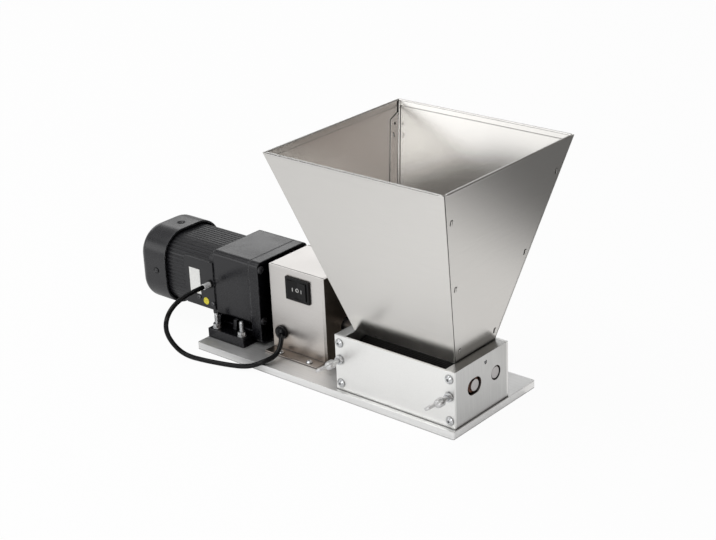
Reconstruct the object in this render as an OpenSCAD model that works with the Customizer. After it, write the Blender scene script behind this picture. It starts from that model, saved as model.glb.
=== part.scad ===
// Electric grain mill: gear motor, shaft cover, two-roller mill and sheet steel hopper on one plate.
// Millimetres, +Z up. The origin is the middle of the plate's underside and +X runs from motor to mill.

/* [Base plate] */
// Length of the base plate
plate_l = 344; // [312:1:400]
// Width of the base plate
plate_w = 135; // [132:1:170]
// Thickness of the base plate
plate_t = 8; // [6:0.5:14]
// Radius of the base plate's corners
plate_corner = 2; // [0.5:0.5:8]
// Width of the opening that the crushed grain falls through
discharge_w = 44; // [20:1:50]
// Material left between that opening and the end plates
discharge_margin = 4; // [2:0.5:12]

/* [Mill box] */
// Length of the mill box along its rollers
mill_l = 148; // [120:1:170]
// Width of the mill box from front to rear
mill_w = 86; // [85:1:110]
// Height of the mill box
mill_h = 60; // [58:1:80]
// Thickness of each end plate
end_t = 12; // [10:0.5:16]
// Thickness of the front and rear plates
skin_t = 2.5; // [1.5:0.5:3.5]
// Distance from the mill to the plate's right end
mill_end_inset = 2; // [0:0.5:10]
// Distance from the mill to the plate's front edge
mill_front_inset = 5.5; // [2:0.5:10]
// Height of the corner screws from the upper and lower edges
corner_screw_inset = 8; // [6:0.5:12]
// Distance of the screws under the mill from its front and rear faces
base_screw_inset = 22; // [18:0.5:26]

/* [Rollers] */
// Diameter of both rollers
roller_d = 32; // [28:0.5:33]
// Gap between the rollers, as set
roller_gap = 1; // [0.8:0.1:2]
// Diameter of the roller shafts and of the output shaft
shaft_d = 12; // [9:0.5:13]
// Gap between a roller's end and the end plate
roller_side_gap = 1; // [0.5:0.1:2]
// Number of flutes round a roller
flute_count = 48; // [24:1:60]
// Depth of a flute
flute_depth = 0.6; // [0.3:0.1:1]
// Gap between the drive roller and the rear plate
roller_rear_gap = 1.5; // [1:0.5:4]
// Height of the roller axes above the plate
drive_h = 34; // [30:0.5:36]
// Wall of the bronze bushes round the roller shafts
bush_wall = 1.5; // [1:0.1:2.5]
// Wall of the sliding bronze bushes of the adjustable roller
slide_bush_wall = 2.2; // [1.5:0.1:3]
// How far the adjustable roller can close or open from its set gap
idler_travel = 0.6; // [0.2:0.1:0.6]
// Free length of the slot beyond the sliding bush, towards the front
idler_slot_free = 4; // [2:0.5:6]
// Depth of the shaft ends inside the end plate's outer face
shaft_recess = 0.8; // [0.4:0.1:2]
// Depth of the bushes inside the end plate's outer face
bush_recess = 3; // [2:0.5:4]

/* [Hopper] */
// Length of the hopper's mouth
hopper_top_l = 212; // [180:1:260]
// Width of the hopper's mouth
hopper_top_w = 201; // [160:1:240]
// Width of the hopper's foot
hopper_foot_w = 65; // [50:1:66]
// Height of the hopper above the mill
hopper_h = 198; // [140:1:260]
// Thickness of the hopper's sheet
sheet_t = 1.2; // [0.8:0.1:2]
// Height of the folded rim
hem_h = 6; // [4:0.5:10]
// Width of the side flanges inside the corners
side_flange_w = 14; // [10:0.5:20]
// Open seam along each corner
corner_gap = 0.8; // [0.3:0.1:1.2]
// Number of hook tabs along each corner
tab_count = 3; // [2:1:5]
// Height of the hopper's foot lip inside the mill
foot_lip_h = 7; // [5:0.5:7]
// Length of the tongue that the foot screw holds
foot_tongue_h = 12; // [10:0.5:13]

/* [Coupling cover] */
// Length of the cover along the shaft
cover_l = 76; // [66:1:84]
// Width of the cover
cover_w = 62; // [56:1:80]
// Height of the cover
cover_h = 96; // [90:1:120]
// Thickness of the cover's sheet
cover_t = 1.5; // [1:0.1:2]
// Width of the cover's feet
cover_foot_w = 14; // [11:0.5:20]
// Gap between gearbox and cover
cover_gap = 11; // [7:0.5:14]
// Distance of the foot screws from the cover's ends
cover_screw_inset = 18; // [10:0.5:22]

/* [Switch] */
// Width of the switch's frame
switch_w = 32; // [28:0.5:36]
// Height of the switch's frame
switch_h = 25; // [22:0.5:28]
// Height of the switch's middle above the plate
switch_z = 75.5; // [72:0.5:78]
// Depth of the switch's body behind the wall
switch_depth = 20; // [16:0.5:22]
// Half of the rocker's swing, in degrees
rocker_swing = 8; // [4:1:10]

/* [Gearbox] */
// Length of the gearbox casting
gearbox_l = 52; // [48:1:60]
// Width of the gearbox
gearbox_w = 78; // [72:1:86]
// Height of the gearbox above the plate
gearbox_h = 94.5; // [92:0.5:106]
// Wall of the gearbox casting
gearbox_wall = 5; // [4:0.5:7]
// Thickness of the gearbox's end cover
end_cover_t = 13; // [10:0.5:15]
// Width of the casting above its foot
waist_w = 64; // [58:1:70]
// Width of the gearbox's foot
foot_w = 108; // [102:1:112]
// Thickness of the gearbox's foot
foot_t = 10; // [8:0.5:14]
// Module of the gear teeth
gear_module = 0.8; // [0.7:0.05:0.9]
// Teeth on each pinion
pinion_teeth = 12; // [10:1:14]
// Teeth on each wheel
wheel_teeth = 32; // [28:1:36]
// Face width of the gears
gear_face = 10; // [8:0.5:12]

/* [Motor] */
// Height of the motor's axis above the plate
motor_h = 52; // [50:0.5:56]
// Width of the motor body
motor_w = 78; // [76:1:84]
// Length of the motor body
motor_l = 81; // [74:1:90]
// Corner radius of the motor body
motor_corner = 26; // [20:1:30]
// Radius of the bore that holds the stator
stator_r = 34.5; // [33:0.5:35]
// Radius of the rotor core
rotor_r = 22; // [20:0.5:23]
// Diameter of the rotor shaft
rotor_shaft_d = 8; // [7:0.5:8]
// Width of the fan cover
fan_cover_w = 86.4; // [84:0.4:96]
// Length of the fan cover
fan_cover_l = 41; // [38:1:46]
// Wall of the fan cover
fan_cover_wall = 2; // [1.5:0.1:2.5]
// Corner radius of the fan cover
fan_cover_corner = 30; // [26:1:34]
// Rounding of the fan cover's closed end
fan_cover_round = 11; // [6:0.5:12]
// Length of the rear end shield
shield_t = 10; // [9:0.5:12]

/* [Cable] */
// Diameter of the motor cable
cable_d = 5.2; // [4.5:0.1:5.4]

/* [Fasteners] */
// Thread of the mill's corner screws
corner_screw_d = 5; // [4:0.5:6]
// Thread of the wing screws
wing_d = 5; // [4:0.5:6]
// Span of a wing screw's wings
wing_span = 25; // [20:0.5:28]
// How far the wing screws' heads stand off the mill
wing_stand = 11; // [6:0.5:14]
// Thread of the screws under the mill
base_screw_d = 6; // [4:0.5:6]
// Thread of the cover's foot screws
cover_screw_d = 4; // [3:0.5:5]
// Thread of the gearbox foot studs
stud_d = 5; // [4:0.5:7]
// Height of the foot studs above the foot
stud_h = 17; // [14:0.5:24]
// Thread of the gearbox cover screws
gearbox_screw_d = 5; // [4:0.5:6]
// Thread of the small screws on hopper foot, motor and fan cover
small_screw_d = 4; // [3:0.5:4.5]

/* [Clearances] */
// Radial gap of a screw in its hole
hole_gap = 0.15; // [0.1:0.05:0.3]
// Radial gap of a shaft turning in a bush or bearing
run_gap = 0.05; // [0.02:0.01:0.09]
// Radial gap of a ring pressed into its seat
press_gap = 0.02; // [0.01:0.01:0.04]
// Gap between moving and fixed pieces
move_gap = 0.3; // [0.2:0.05:0.5]

/* [Hidden] */
$fn = 48;

// Mill box planes
mill_x1 = plate_l / 2 - mill_end_inset;
mill_x0 = mill_x1 - mill_l;
mill_y0 = -plate_w / 2 + mill_front_inset;
mill_y1 = mill_y0 + mill_w;
mill_top = plate_t + mill_h;
mill_cx = (mill_x0 + mill_x1) / 2;
inner_x0 = mill_x0 + end_t;
inner_x1 = mill_x1 - end_t;
inner_y0 = mill_y0 + skin_t;
inner_y1 = mill_y1 - skin_t;
end_centres = [mill_x0 + end_t / 2, mill_x1 - end_t / 2];
corner_heights = [plate_t + corner_screw_inset, mill_top - corner_screw_inset];
corner_screw_l = skin_t + 2 * corner_screw_d;
base_screw_l = plate_t + 2 * base_screw_d;
base_screw_rows = [mill_y0 + base_screw_inset, mill_y1 - base_screw_inset];

// Roller axes
drive_y = inner_y1 - roller_d / 2 - roller_rear_gap;
drive_z = plate_t + drive_h;
idler_y = drive_y - roller_d - roller_gap;
nip_y = (drive_y + idler_y) / 2;
roller_x0 = inner_x0 + roller_side_gap;
roller_x1 = inner_x1 - roller_side_gap;
drive_hole_d = shaft_d + 2 * bush_wall;
slide_bush_d = shaft_d + 2 * slide_bush_wall;
slot_h = slide_bush_d + 2 * move_gap;
slot_y1 = idler_y + idler_travel + move_gap;
slot_y0 = idler_y - idler_slot_free;

// Wing screws
wing_nut_h = 0.8 * wing_d;
wing_hub_d = 1.8 * wing_d;
wing_hub_h = 1.8 * wing_d;
wing_t = 3.2;
wing_lobe_r = 4.4;
wing_tilt = [28, 31];
wing_tip_y = idler_y - slide_bush_d / 2 - idler_travel - move_gap;

// Hopper slopes
hopper_foot_l = inner_x1 - inner_x0 - 2 * move_gap;
front_tilt = atan((hopper_top_w - hopper_foot_w) / 2 / hopper_h);
side_tilt = atan((hopper_top_l - hopper_foot_l) / 2 / hopper_h);
front_slant = hopper_h / cos(front_tilt);
side_slant = hopper_h / cos(side_tilt);
corner_inset = sheet_t + corner_gap;
hem_inset = 3;
flange_start = 4;
flange_edge_gap = 0.3;
flange_drop = 6;
flange_tip_w = 1.5;
flange_chamfer_w = side_flange_w - flange_tip_w;
flange_chamfer_h = 5;
tab_inset = 8;
tab_w = 1.6;
tab_l = 5;
tab_proud = 0.6;
tab_root = 0.2;
tab_window = 1.8;
slot_free = 1.2;
flange_hole_d = 3;
flange_hole_drop = 10;
tab_first = 0.06;
tab_last = 0.84;
tongue_w = 12;
foot_screw_drop = foot_tongue_h - small_screw_d;
foot_screw_l = end_t + move_gap + 2 * sheet_t;

// Gearbox and motor planes
gearbox_x0 = -plate_l / 2;
gearbox_x1 = gearbox_x0 + gearbox_l;
end_cover_x1 = gearbox_x1 + end_cover_t;
cavity_x0 = gearbox_x0 + gearbox_wall + 1;
cavity_top = plate_t + gearbox_h - gearbox_wall;
cavity_floor = plate_t + foot_t + 2;
cavity_low = waist_w / 2 - gearbox_wall;
cavity_high = gearbox_w / 2 - gearbox_screw_d - 3.5;
gearbox_round = 6;
waist_top = 20;
waist_low = 13;
end_cover_lift = 2;
foot_stud_x = [gearbox_x0 + 7.5, gearbox_x1 - 7.5];
foot_stud_y = [drive_y - foot_w / 2 + 6.5, drive_y + foot_w / 2 - 6.5];
stud_sunk = 6;
washer_t = 1.2;
motor_z = plate_t + motor_h;
motor_x1 = gearbox_x0;
motor_x0 = motor_x1 - motor_l;
shield_x0 = motor_x0 - shield_t;
fan_cover_x1 = motor_x0 + 8;
fan_cover_x0 = fan_cover_x1 - fan_cover_l;
front_shield_t = 8;
flange_t = 7;
flange_w = motor_w - 2;
flange_corner = 8;
rib_pitch = 4.4;
pad_t = 1.2;
pad_y = drive_y - motor_w / 2 - pad_t;
pad_z0 = motor_z - 27;
pad_z1 = motor_z + 28;
pad_x0 = motor_x1 - 44;
pad_x1 = motor_x1 - 1;

// Gear train
pinion_r = gear_module * pinion_teeth / 2;
wheel_r = gear_module * wheel_teeth / 2;
centre_distance = pinion_r + wheel_r;
mid_z = (motor_z + drive_z) / 2;
mid_y = drive_y + sqrt(centre_distance * centre_distance - pow(motor_z - mid_z, 2));
to_motor = atan2(motor_z - mid_z, drive_y - mid_y);
to_output = atan2(drive_z - mid_z, drive_y - mid_y);
tooth_tip = 0.85 * gear_module;
tooth_root = 1.2 * gear_module;
tooth_fill = 0.8;
pressure_angle = 20;
first_gear_x = cavity_x0 + 4;
second_gear_x = first_gear_x + gear_face + 3;
mid_shaft_d = 6;
stub_bush_d = 10;
stub_bush_l = 5;
output_ring_d = shaft_d + 10;
motor_ring_d = 22;
motor_ring_l = 7;

// Stator and rotor
stator_rear_inset = 18;
stator_front_inset = 16;
stator_x0 = motor_x0 + stator_rear_inset;
stator_x1 = motor_x1 - stator_front_inset;
winding_step = 2;
air_gap = 0.8;
winding_l = 6;
fan_x = shield_x0 - 4;
fan_r = 31;
fan_depth = 10;

// Cover planes and the coupling inside it
cover_x0 = end_cover_x1 + cover_gap;
cover_x1 = cover_x0 + cover_l;
cover_offset = 1;
cover_y0 = drive_y - cover_w / 2 - cover_offset;
cover_y1 = cover_y0 + cover_w;
cover_top = plate_t + cover_h;
shaft_slot_d = shaft_d + 6;
cover_screw_x = [cover_x0 + cover_screw_inset, cover_x1 - cover_screw_inset];
cover_screw_y = [cover_y0 - 0.64 * cover_foot_w, cover_y1 + 0.64 * cover_foot_w];
coupling_x = (cover_x0 + cover_x1) / 2;
coupling_d = 30;
hub_l = 18;
jaw_l = 9;
jaw_root = 1;
jaw_step = 0.4;
jaw_angle = 44;
leg_angle = 13;
spider_r = 7;

// Switch, grommet, gland and the electrical pieces inside the cover
switch_offset = 2;
switch_x = coupling_x + switch_offset;
switch_step = 2;
lid_seam_w = 0.7;
switch_fit = 0.2;
switch_mid_z = plate_t + switch_z;
switch_lip = 2.2;
switch_border = 3;
rocker_l = switch_w - 2 * switch_border;
rocker_h = switch_h - 2 * switch_border;
rocker_depth = 6;
rocker_proud = 1.2;
rocker_pin_d = 3;
rocker_y = cover_y0;
grommet_x = cover_x0 + 13;
grommet_z = plate_t + 20.5;
grommet_d = 15;
grommet_neck_d = 10;
gland_x = cover_x1 - 20;
gland_z = plate_t + 22;
gland_d = 12;
capacitor_d = 26;
capacitor_l = 48;
capacitor_y = cover_y1 - cover_t - capacitor_d / 2 - 2;
capacitor_z = cover_top - cover_t - capacitor_d / 2 - 4;
clamp_w = 12;
motor_gland_x = motor_x1 - 6;
motor_gland_z = motor_z + 3;
motor_gland_d = 9;
motor_gland_l = 11;

// Button heads and nuts, as multiples of the thread
head_k = 1.75;
head_h_k = 0.55;
socket_k = 0.6;
nut_k = 1.85;
nut_h_k = 0.8;
washer_k = 2.1;
screw_recess = 0.5;

// Route of the motor cable's centre: out of the motor gland, along the floor, into the grommet
cable_out = [[0, 0, 0], [0, -8.8, 0], [0, -18.8, -0.4], [0, -28.8, -1.4], [0, -37.8, -3.4],
  [0, -45.8, -7], [0, -52.3, -12.5], [0, -56.3, -19.5], [0, -57.3, -27], [0, -55.8, -34.5],
  [0.5, -52.8, -42], [2, -49.3, -49]];
cable_floor = [[-0.5, -97.5, 8.2], [5.5, -95.2, 4.4], [14, -94, 3], [24, -92.8, 2.9],
  [35, -90.8, 2.9], [46, -88.2, 2.9], [57, -85.4, 3], [67, -82.8, 3.4], [76, -80.6, 4.4],
  [84, -78.4, 6.2], [91, -75.6, 8.8], [96.5, -70.8, 11.6], [99.8, -64.4, 13]];
cable_in = [[12, -25.8, -13.9], [11.6, -19.6, -10.9], [10, -14.2, -6.7], [7, -9.4, -2.9], [3.4, -5, -0.5]];
cable_route = concat(
  [for (p = cable_out) [motor_gland_x, pad_y - motor_gland_l, motor_gland_z] + p],
  [for (p = cable_floor) [gearbox_x0, drive_y, 0] + p],
  [for (p = cable_in) [grommet_x, cover_y0, grommet_z] + p]);
cable_sides = 10;
cable_guide = [1, -1, 1];

// Solid helpers
module box(x0, x1, y0, y1, z0, z1) translate([x0, y0, z0]) cube([x1 - x0, y1 - y0, z1 - z0]);
module bar_x(x0, x1, y, z, d) translate([x0, y, z]) rotate([0, 90, 0]) cylinder(d = d, h = x1 - x0);
module bar_y(y0, y1, x, z, d) translate([x, y0, z]) rotate([-90, 0, 0]) cylinder(d = d, h = y1 - y0);
module bar_z(z0, z1, x, y, d) translate([x, y, z0]) cylinder(d = d, h = z1 - z0);
module ring_x(x0, x1, y, z, d, bore) difference() {
  bar_x(x0, x1, y, z, d);
  bar_x(x0 - 1, x1 + 1, y, z, bore);
}
module along_x(x, y, z) translate([x, y, z]) rotate([90, 0, 90]) children();
module face_front(x, y, z) translate([x, y, z]) rotate([90, 0, 0]) children();
module face_rear(x, y, z) translate([x, y, z]) rotate([-90, 0, 0]) children();
module face_right(x, y, z) translate([x, y, z]) rotate([0, 90, 0]) children();
module face_left(x, y, z) translate([x, y, z]) rotate([0, -90, 0]) children();
module face_up(x, y, z) translate([x, y, z]) children();
module face_down(x, y, z) translate([x, y, z]) rotate([180, 0, 0]) children();

module rounded_rect(w, h, r) {
  square([w - 2 * r, h], center = true);
  square([w, h - 2 * r], center = true);
  for (i = [-1, 1], j = [-1, 1]) translate([i * (w / 2 - r), j * (h / 2 - r)]) circle(r);
}

// A closed skin over rings of points that run along the sweep, each counter-clockwise about it
module skin(rings) {
  n = len(rings[0]);
  last = len(rings) - 1;
  points = [for (r = rings, p = r) p];
  walls = [for (i = [0 : last - 1], j = [0 : n - 1]) let (k = (j + 1) % n)
    each [[i * n + j, (i + 1) * n + j, (i + 1) * n + k], [i * n + j, (i + 1) * n + k, i * n + k]]];
  first_cap = [for (j = [1 : n - 2]) [0, j, j + 1]];
  last_cap = [for (j = [1 : n - 2]) [last * n, last * n + j + 1, last * n + j]];
  polyhedron(points = points, faces = concat(walls, first_cap, last_cap));
}

// Fastener shapes: the head stands on z = 0 and the thread runs down
module button_screw(d, l) difference() {
  rotate_extrude() polygon([[0, -l], [d / 2, -l], [d / 2, 0], [head_k * d / 2, 0],
    [head_k * d / 2, 0.45 * head_h_k * d], [0.6 * head_k * d / 2, head_h_k * d], [0, head_h_k * d]]);
  translate([0, 0, 0.4 * head_h_k * d]) cylinder(d = socket_k * d, h = head_h_k * d, $fn = 6);
}
module set_screw(d, l) difference() {
  translate([0, 0, -l]) cylinder(d = d, h = l - screw_recess);
  translate([0, 0, -d]) cylinder(d = socket_k * d, h = 2 * d, $fn = 6);
}
module flat_screw(d, l) difference() {
  rotate_extrude() polygon([[0, -l], [d / 2, -l], [d / 2, -d / 2], [d, 0], [0, 0]]);
  translate([0, 0, -0.4 * d]) cylinder(d = socket_k * d, h = d, $fn = 6);
}
module flat_screw_hole(d, l) {
  translate([0, 0, -l]) cylinder(d = d + 2 * hole_gap, h = l + 1);
  translate([0, 0, -d / 2 - hole_gap]) cylinder(d1 = d, d2 = 2 * d, h = d / 2);
  translate([0, 0, -hole_gap - 0.001]) cylinder(d = 2 * d, h = 1);
}
module hex_nut(d, h) difference() {
  cylinder(d = nut_k * d, h = h, $fn = 6);
  translate([0, 0, -1]) cylinder(d = d + 2 * hole_gap, h = h + 2);
}
module washer(d, h) difference() {
  cylinder(d = washer_k * d, h = h);
  translate([0, 0, -1]) cylinder(d = d + 2 * hole_gap, h = h + 2);
}

// Base plate with the discharge opening under the rollers
module base_plate() color("gainsboro") difference() {
  linear_extrude(plate_t) rounded_rect(plate_l, plate_w, plate_corner);
  box(inner_x0 + discharge_margin, inner_x1 - discharge_margin,
    nip_y - discharge_w / 2, nip_y + discharge_w / 2, -1, plate_t + 1);
  for (x = end_centres, y = base_screw_rows) face_down(x, y, 0) flat_screw_hole(base_screw_d, plate_t + 1);
  for (x = cover_screw_x, y = cover_screw_y)
    bar_z(1, plate_t + 1, x, y, cover_screw_d + 2 * hole_gap);
  for (x = foot_stud_x, y = foot_stud_y)
    bar_z(plate_t - stud_sunk, plate_t + 1, x, y, stud_d + 2 * hole_gap);
}

// Mill end plates: bush hole, sliding slot and screw holes
module mill_end_plate(x0) difference() {
  x1 = x0 + end_t;
  xc = x0 + end_t / 2;
  box(x0, x1, inner_y0, inner_y1, plate_t, mill_top);
  bar_x(x0 - 1, x1 + 1, drive_y, drive_z, drive_hole_d + 2 * press_gap);
  bar_x(x0 - 1, x1 + 1, slot_y0, drive_z, slot_h);
  bar_x(x0 - 1, x1 + 1, slot_y1, drive_z, slot_h);
  box(x0 - 1, x1 + 1, slot_y0, slot_y1, drive_z - slot_h / 2, drive_z + slot_h / 2);
  bar_y(inner_y0 - 1, slot_y0, xc, drive_z, wing_d + 2 * run_gap);
  for (z = corner_heights) {
    bar_y(inner_y0 - 1, mill_y0 + corner_screw_l + 1, xc, z, corner_screw_d + 2 * hole_gap);
    bar_y(mill_y1 - corner_screw_l - 1, inner_y1 + 1, xc, z, corner_screw_d + 2 * hole_gap);
  }
  for (y = base_screw_rows) bar_z(0, base_screw_l + 1, xc, y, base_screw_d + 2 * hole_gap);
  bar_x(x0 - 1, x1 + 1, nip_y, mill_top - foot_screw_drop, small_screw_d + 2 * hole_gap);
}
module mill_end_plate_left() color("whitesmoke") mill_end_plate(mill_x0);
module mill_end_plate_right() color("whitesmoke") mill_end_plate(inner_x1);

// Front and rear plates of the mill
module mill_skin(y0) difference() {
  box(mill_x0, mill_x1, y0, y0 + skin_t, plate_t, mill_top);
  for (x = end_centres, z = corner_heights)
    bar_y(y0 - 1, y0 + skin_t + 1, x, z, corner_screw_d + 2 * hole_gap);
}
module mill_front_plate() color("whitesmoke") difference() {
  mill_skin(mill_y0);
  for (x = end_centres) bar_y(mill_y0 - 1, inner_y0 + 1, x, drive_z, wing_d + 2 * run_gap);
}
module mill_rear_plate() color("whitesmoke") mill_skin(inner_y1);
module front_plate_screws() color("silver") for (x = end_centres, z = corner_heights)
  face_front(x, mill_y0, z) button_screw(corner_screw_d, corner_screw_l);
module rear_plate_screws() color("silver") for (x = end_centres, z = corner_heights)
  face_rear(x, mill_y1, z) button_screw(corner_screw_d, corner_screw_l);
module mill_base_screws() color("silver") for (x = end_centres, y = base_screw_rows)
  face_down(x, y, 0) flat_screw(base_screw_d, base_screw_l);

// Fluted rollers: the drive roller is one piece with its shaft, the idler is pressed on its own shaft
module fluted_barrel(y) {
  step = 360 / flute_count;
  outline = [for (i = [0 : flute_count - 1], j = [0, 1])
    let (r = roller_d / 2 - j * flute_depth, a = (i + j / 2) * step) [r * cos(a), r * sin(a)]];
  along_x(roller_x0, y, drive_z) linear_extrude(roller_x1 - roller_x0) polygon(outline);
}
module drive_roller() color("dimgray") {
  fluted_barrel(drive_y);
  bar_x(coupling_x + jaw_l / 2, mill_x1 - shaft_recess, drive_y, drive_z, shaft_d);
}
module idler_roller() color("dimgray") difference() {
  fluted_barrel(idler_y);
  bar_x(roller_x0 - 1, roller_x1 + 1, idler_y, drive_z, shaft_d + 2 * press_gap);
}
module idler_shaft() color("silver")
  bar_x(mill_x0 + shaft_recess, mill_x1 - shaft_recess, idler_y, drive_z, shaft_d);
module drive_bushes() color("peru") for (x = [mill_x0 + bush_recess, inner_x1])
  ring_x(x, x + end_t - bush_recess, drive_y, drive_z, drive_hole_d, shaft_d + 2 * run_gap);
module idler_slide_bushes() color("peru") for (x = [mill_x0 + bush_recess, inner_x1])
  ring_x(x, x + end_t - bush_recess, idler_y, drive_z, slide_bush_d, shaft_d + 2 * run_gap);

// Wing screws that hold the sliding bushes, with their lock nuts
module wing_screw(x, tilt) face_front(x, mill_y0, drive_z) rotate([0, 0, tilt]) {
  hub_z = max(wing_stand, wing_nut_h + move_gap);
  lobe_z = hub_z + wing_hub_h + 3;
  lobe_x = wing_span / 2 - wing_lobe_r;
  translate([0, 0, -(wing_tip_y - mill_y0)]) cylinder(d = wing_d, h = wing_tip_y - mill_y0 + hub_z + 1);
  translate([0, 0, hub_z]) cylinder(d = wing_hub_d, h = wing_hub_h);
  rotate([90, 0, 0]) translate([0, 0, -wing_t / 2]) linear_extrude(wing_t) for (s = [-1, 1]) {
    translate([s * lobe_x, lobe_z]) circle(wing_lobe_r);
    polygon([[0, hub_z + 2], [s * (lobe_x + 3), lobe_z - 3], [s * (lobe_x - 2), lobe_z + 3.5],
      [s * wing_hub_d / 4, hub_z + wing_hub_h], [0, hub_z + wing_hub_h]]);
  }
}
module wing_screw_left() color("silver") wing_screw(end_centres[0], wing_tilt[0]);
module wing_screw_right() color("silver") wing_screw(end_centres[1], wing_tilt[1]);
module wing_lock_nuts() color("silver") for (x = end_centres)
  face_front(x, mill_y0, drive_z) hex_nut(wing_d, wing_nut_h);

// A hopper panel's own frame: x along its foot, y up its slope, z outwards from its outer face
module panel_frame(turn, half_depth, tilt) translate([mill_cx, nip_y, mill_top]) rotate([0, 0, turn])
  translate([0, -half_depth, 0]) rotate([90 + tilt, 0, 0]) children();
module front_frame(turn) panel_frame(turn, hopper_foot_w / 2, front_tilt) children();
module side_frame(turn) panel_frame(turn, hopper_foot_l / 2, side_tilt) children();

// Half the panel's width at a height up its slope
function front_half(v) = (hopper_foot_l + (hopper_top_l - hopper_foot_l) * v / front_slant) / 2;
function side_half(v) = (hopper_foot_w + (hopper_top_w - hopper_foot_w) * v / side_slant) / 2;
function tab_heights() = [for (i = [0 : tab_count - 1])
  side_slant * (tab_first + (tab_last - tab_first) * i / (tab_count - 1))];

module sheet(depth, points) translate([0, 0, depth - sheet_t]) linear_extrude(sheet_t) polygon(points);

// Front and rear panels carry the side flanges, which lie on the side panels inside the corners
module side_flange(side) {
  top = side_slant - hem_h - flange_drop;
  low = flange_start;
  edge = function(v, inset) side * (side_half(v) - inset);
  window_inset = tab_inset + tab_w / 2 + tab_window / 2;
  hole_v = top - flange_hole_drop;
  difference() {
    sheet(-sheet_t, [[edge(low, flange_edge_gap), low], [edge(low, side_flange_w), low],
      [edge(top - flange_chamfer_h, side_flange_w), top - flange_chamfer_h],
      [edge(top, side_flange_w - flange_chamfer_w), top], [edge(top, flange_edge_gap), top]]);
    for (v = tab_heights())
      translate([edge(v, window_inset), v, -1.5 * sheet_t])
        cube([tab_window, tab_l, 2 * sheet_t], center = true);
    translate([edge(hole_v, tab_inset), hole_v, -1.5 * sheet_t])
      cylinder(d = flange_hole_d, h = 2 * sheet_t, center = true);
  }
  for (v = tab_heights()) translate([edge(v, tab_inset) - tab_w / 2, v - tab_l / 2, -sheet_t - tab_root])
    cube([tab_w, tab_l, sheet_t + tab_root + tab_proud]);
}
module long_panel(turn) {
  front_frame(turn) {
    sheet(0, [[-front_half(0), 0], [front_half(0), 0], [front_half(front_slant), front_slant],
      [-front_half(front_slant), front_slant]]);
    hem_low = front_slant - hem_h;
    inset = sheet_t + hem_inset;
    sheet(-sheet_t, [[-front_half(hem_low) + inset, hem_low], [front_half(hem_low) - inset, hem_low],
      [front_half(front_slant) - inset, front_slant], [-front_half(front_slant) + inset, front_slant]]);
  }
  side_frame(turn + 90) side_flange(-1);
  side_frame(turn - 90) side_flange(1);
}
module hopper_front_panel() color("lightgray") long_panel(0);
module hopper_rear_panel() color("lightgray") long_panel(180);

// Side panels fit between the long ones, with slots for the tabs and a lip inside the mill
module short_panel(turn) {
  difference() {
    union() side_frame(turn) {
      top = side_slant;
      sheet(0, [[-side_half(0) + corner_inset, 0], [side_half(0) - corner_inset, 0],
        [side_half(top) - corner_inset, top], [-side_half(top) + corner_inset, top]]);
      hem_low = top - hem_h;
      inset = 2 * sheet_t + hem_inset;
      sheet(-sheet_t, [[-side_half(hem_low) + inset, hem_low], [side_half(hem_low) - inset, hem_low],
        [side_half(top) - inset, top], [-side_half(top) + inset, top]]);
    }
    side_frame(turn) for (side = [-1, 1], v = tab_heights())
      translate([side * (side_half(v) - tab_inset - slot_free / 2), v, 0])
        cube([tab_w + 2 * move_gap + slot_free, tab_l + 2 * move_gap, 4 * sheet_t], center = true);
  }
  lip = hopper_foot_w / 2 - corner_inset - side_flange_w;
  panel_frame(turn, hopper_foot_l / 2, 0) difference() {
    union() {
      sheet(0, [[-lip, -foot_lip_h], [lip, -foot_lip_h], [lip, 0.6], [-lip, 0.6]]);
      sheet(0, [[-tongue_w / 2, -foot_tongue_h], [tongue_w / 2, -foot_tongue_h],
        [tongue_w / 2, -1], [-tongue_w / 2, -1]]);
    }
    translate([0, -foot_screw_drop, -2 * sheet_t])
      cylinder(d = small_screw_d + 2 * hole_gap, h = 4 * sheet_t);
  }
}
module hopper_left_panel() color("lightgray") short_panel(270);
module hopper_right_panel() color("lightgray") short_panel(90);
module hopper_foot_screws() color("silver") {
  face_left(mill_x0, nip_y, mill_top - foot_screw_drop) set_screw(small_screw_d, foot_screw_l);
  face_right(mill_x1, nip_y, mill_top - foot_screw_drop) set_screw(small_screw_d, foot_screw_l);
}

// Jaw coupling between the output shaft and the drive roller
module sector(r0, r1, angle, h) linear_extrude(h) intersection() {
  difference() {
    circle(r1);
    circle(r0);
  }
  reach = 2 * r1;
  polygon([[0, 0], [reach * cos(angle / 2), -reach * sin(angle / 2)], [reach, 0],
    [reach * cos(angle / 2), reach * sin(angle / 2)]]);
}
module coupling_hub(body_x, jaw_x, first_jaw) {
  ring_x(body_x, body_x + hub_l, drive_y, drive_z, coupling_d, shaft_d + 2 * press_gap);
  along_x(jaw_x, drive_y, drive_z) for (i = [0 : 2]) rotate(first_jaw + 120 * i)
    sector(spider_r + move_gap, coupling_d / 2 - jaw_step, jaw_angle, jaw_l - move_gap + jaw_root);
}
module coupling_motor_hub() color("gray")
  coupling_hub(coupling_x - jaw_l / 2 - hub_l, coupling_x - jaw_l / 2 - jaw_root, 0);
module coupling_mill_hub() color("gray")
  coupling_hub(coupling_x + jaw_l / 2, coupling_x - jaw_l / 2 + move_gap, 60);
module coupling_spider() color("crimson")
  along_x(coupling_x - jaw_l / 2 + move_gap, drive_y, drive_z) {
    linear_extrude(jaw_l - 2 * move_gap) circle(spider_r);
    for (i = [0 : 5]) rotate(30 + 60 * i)
      sector(spider_r - 1, coupling_d / 2 - 2 * jaw_step, leg_angle, jaw_l - 2 * move_gap);
  }

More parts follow.
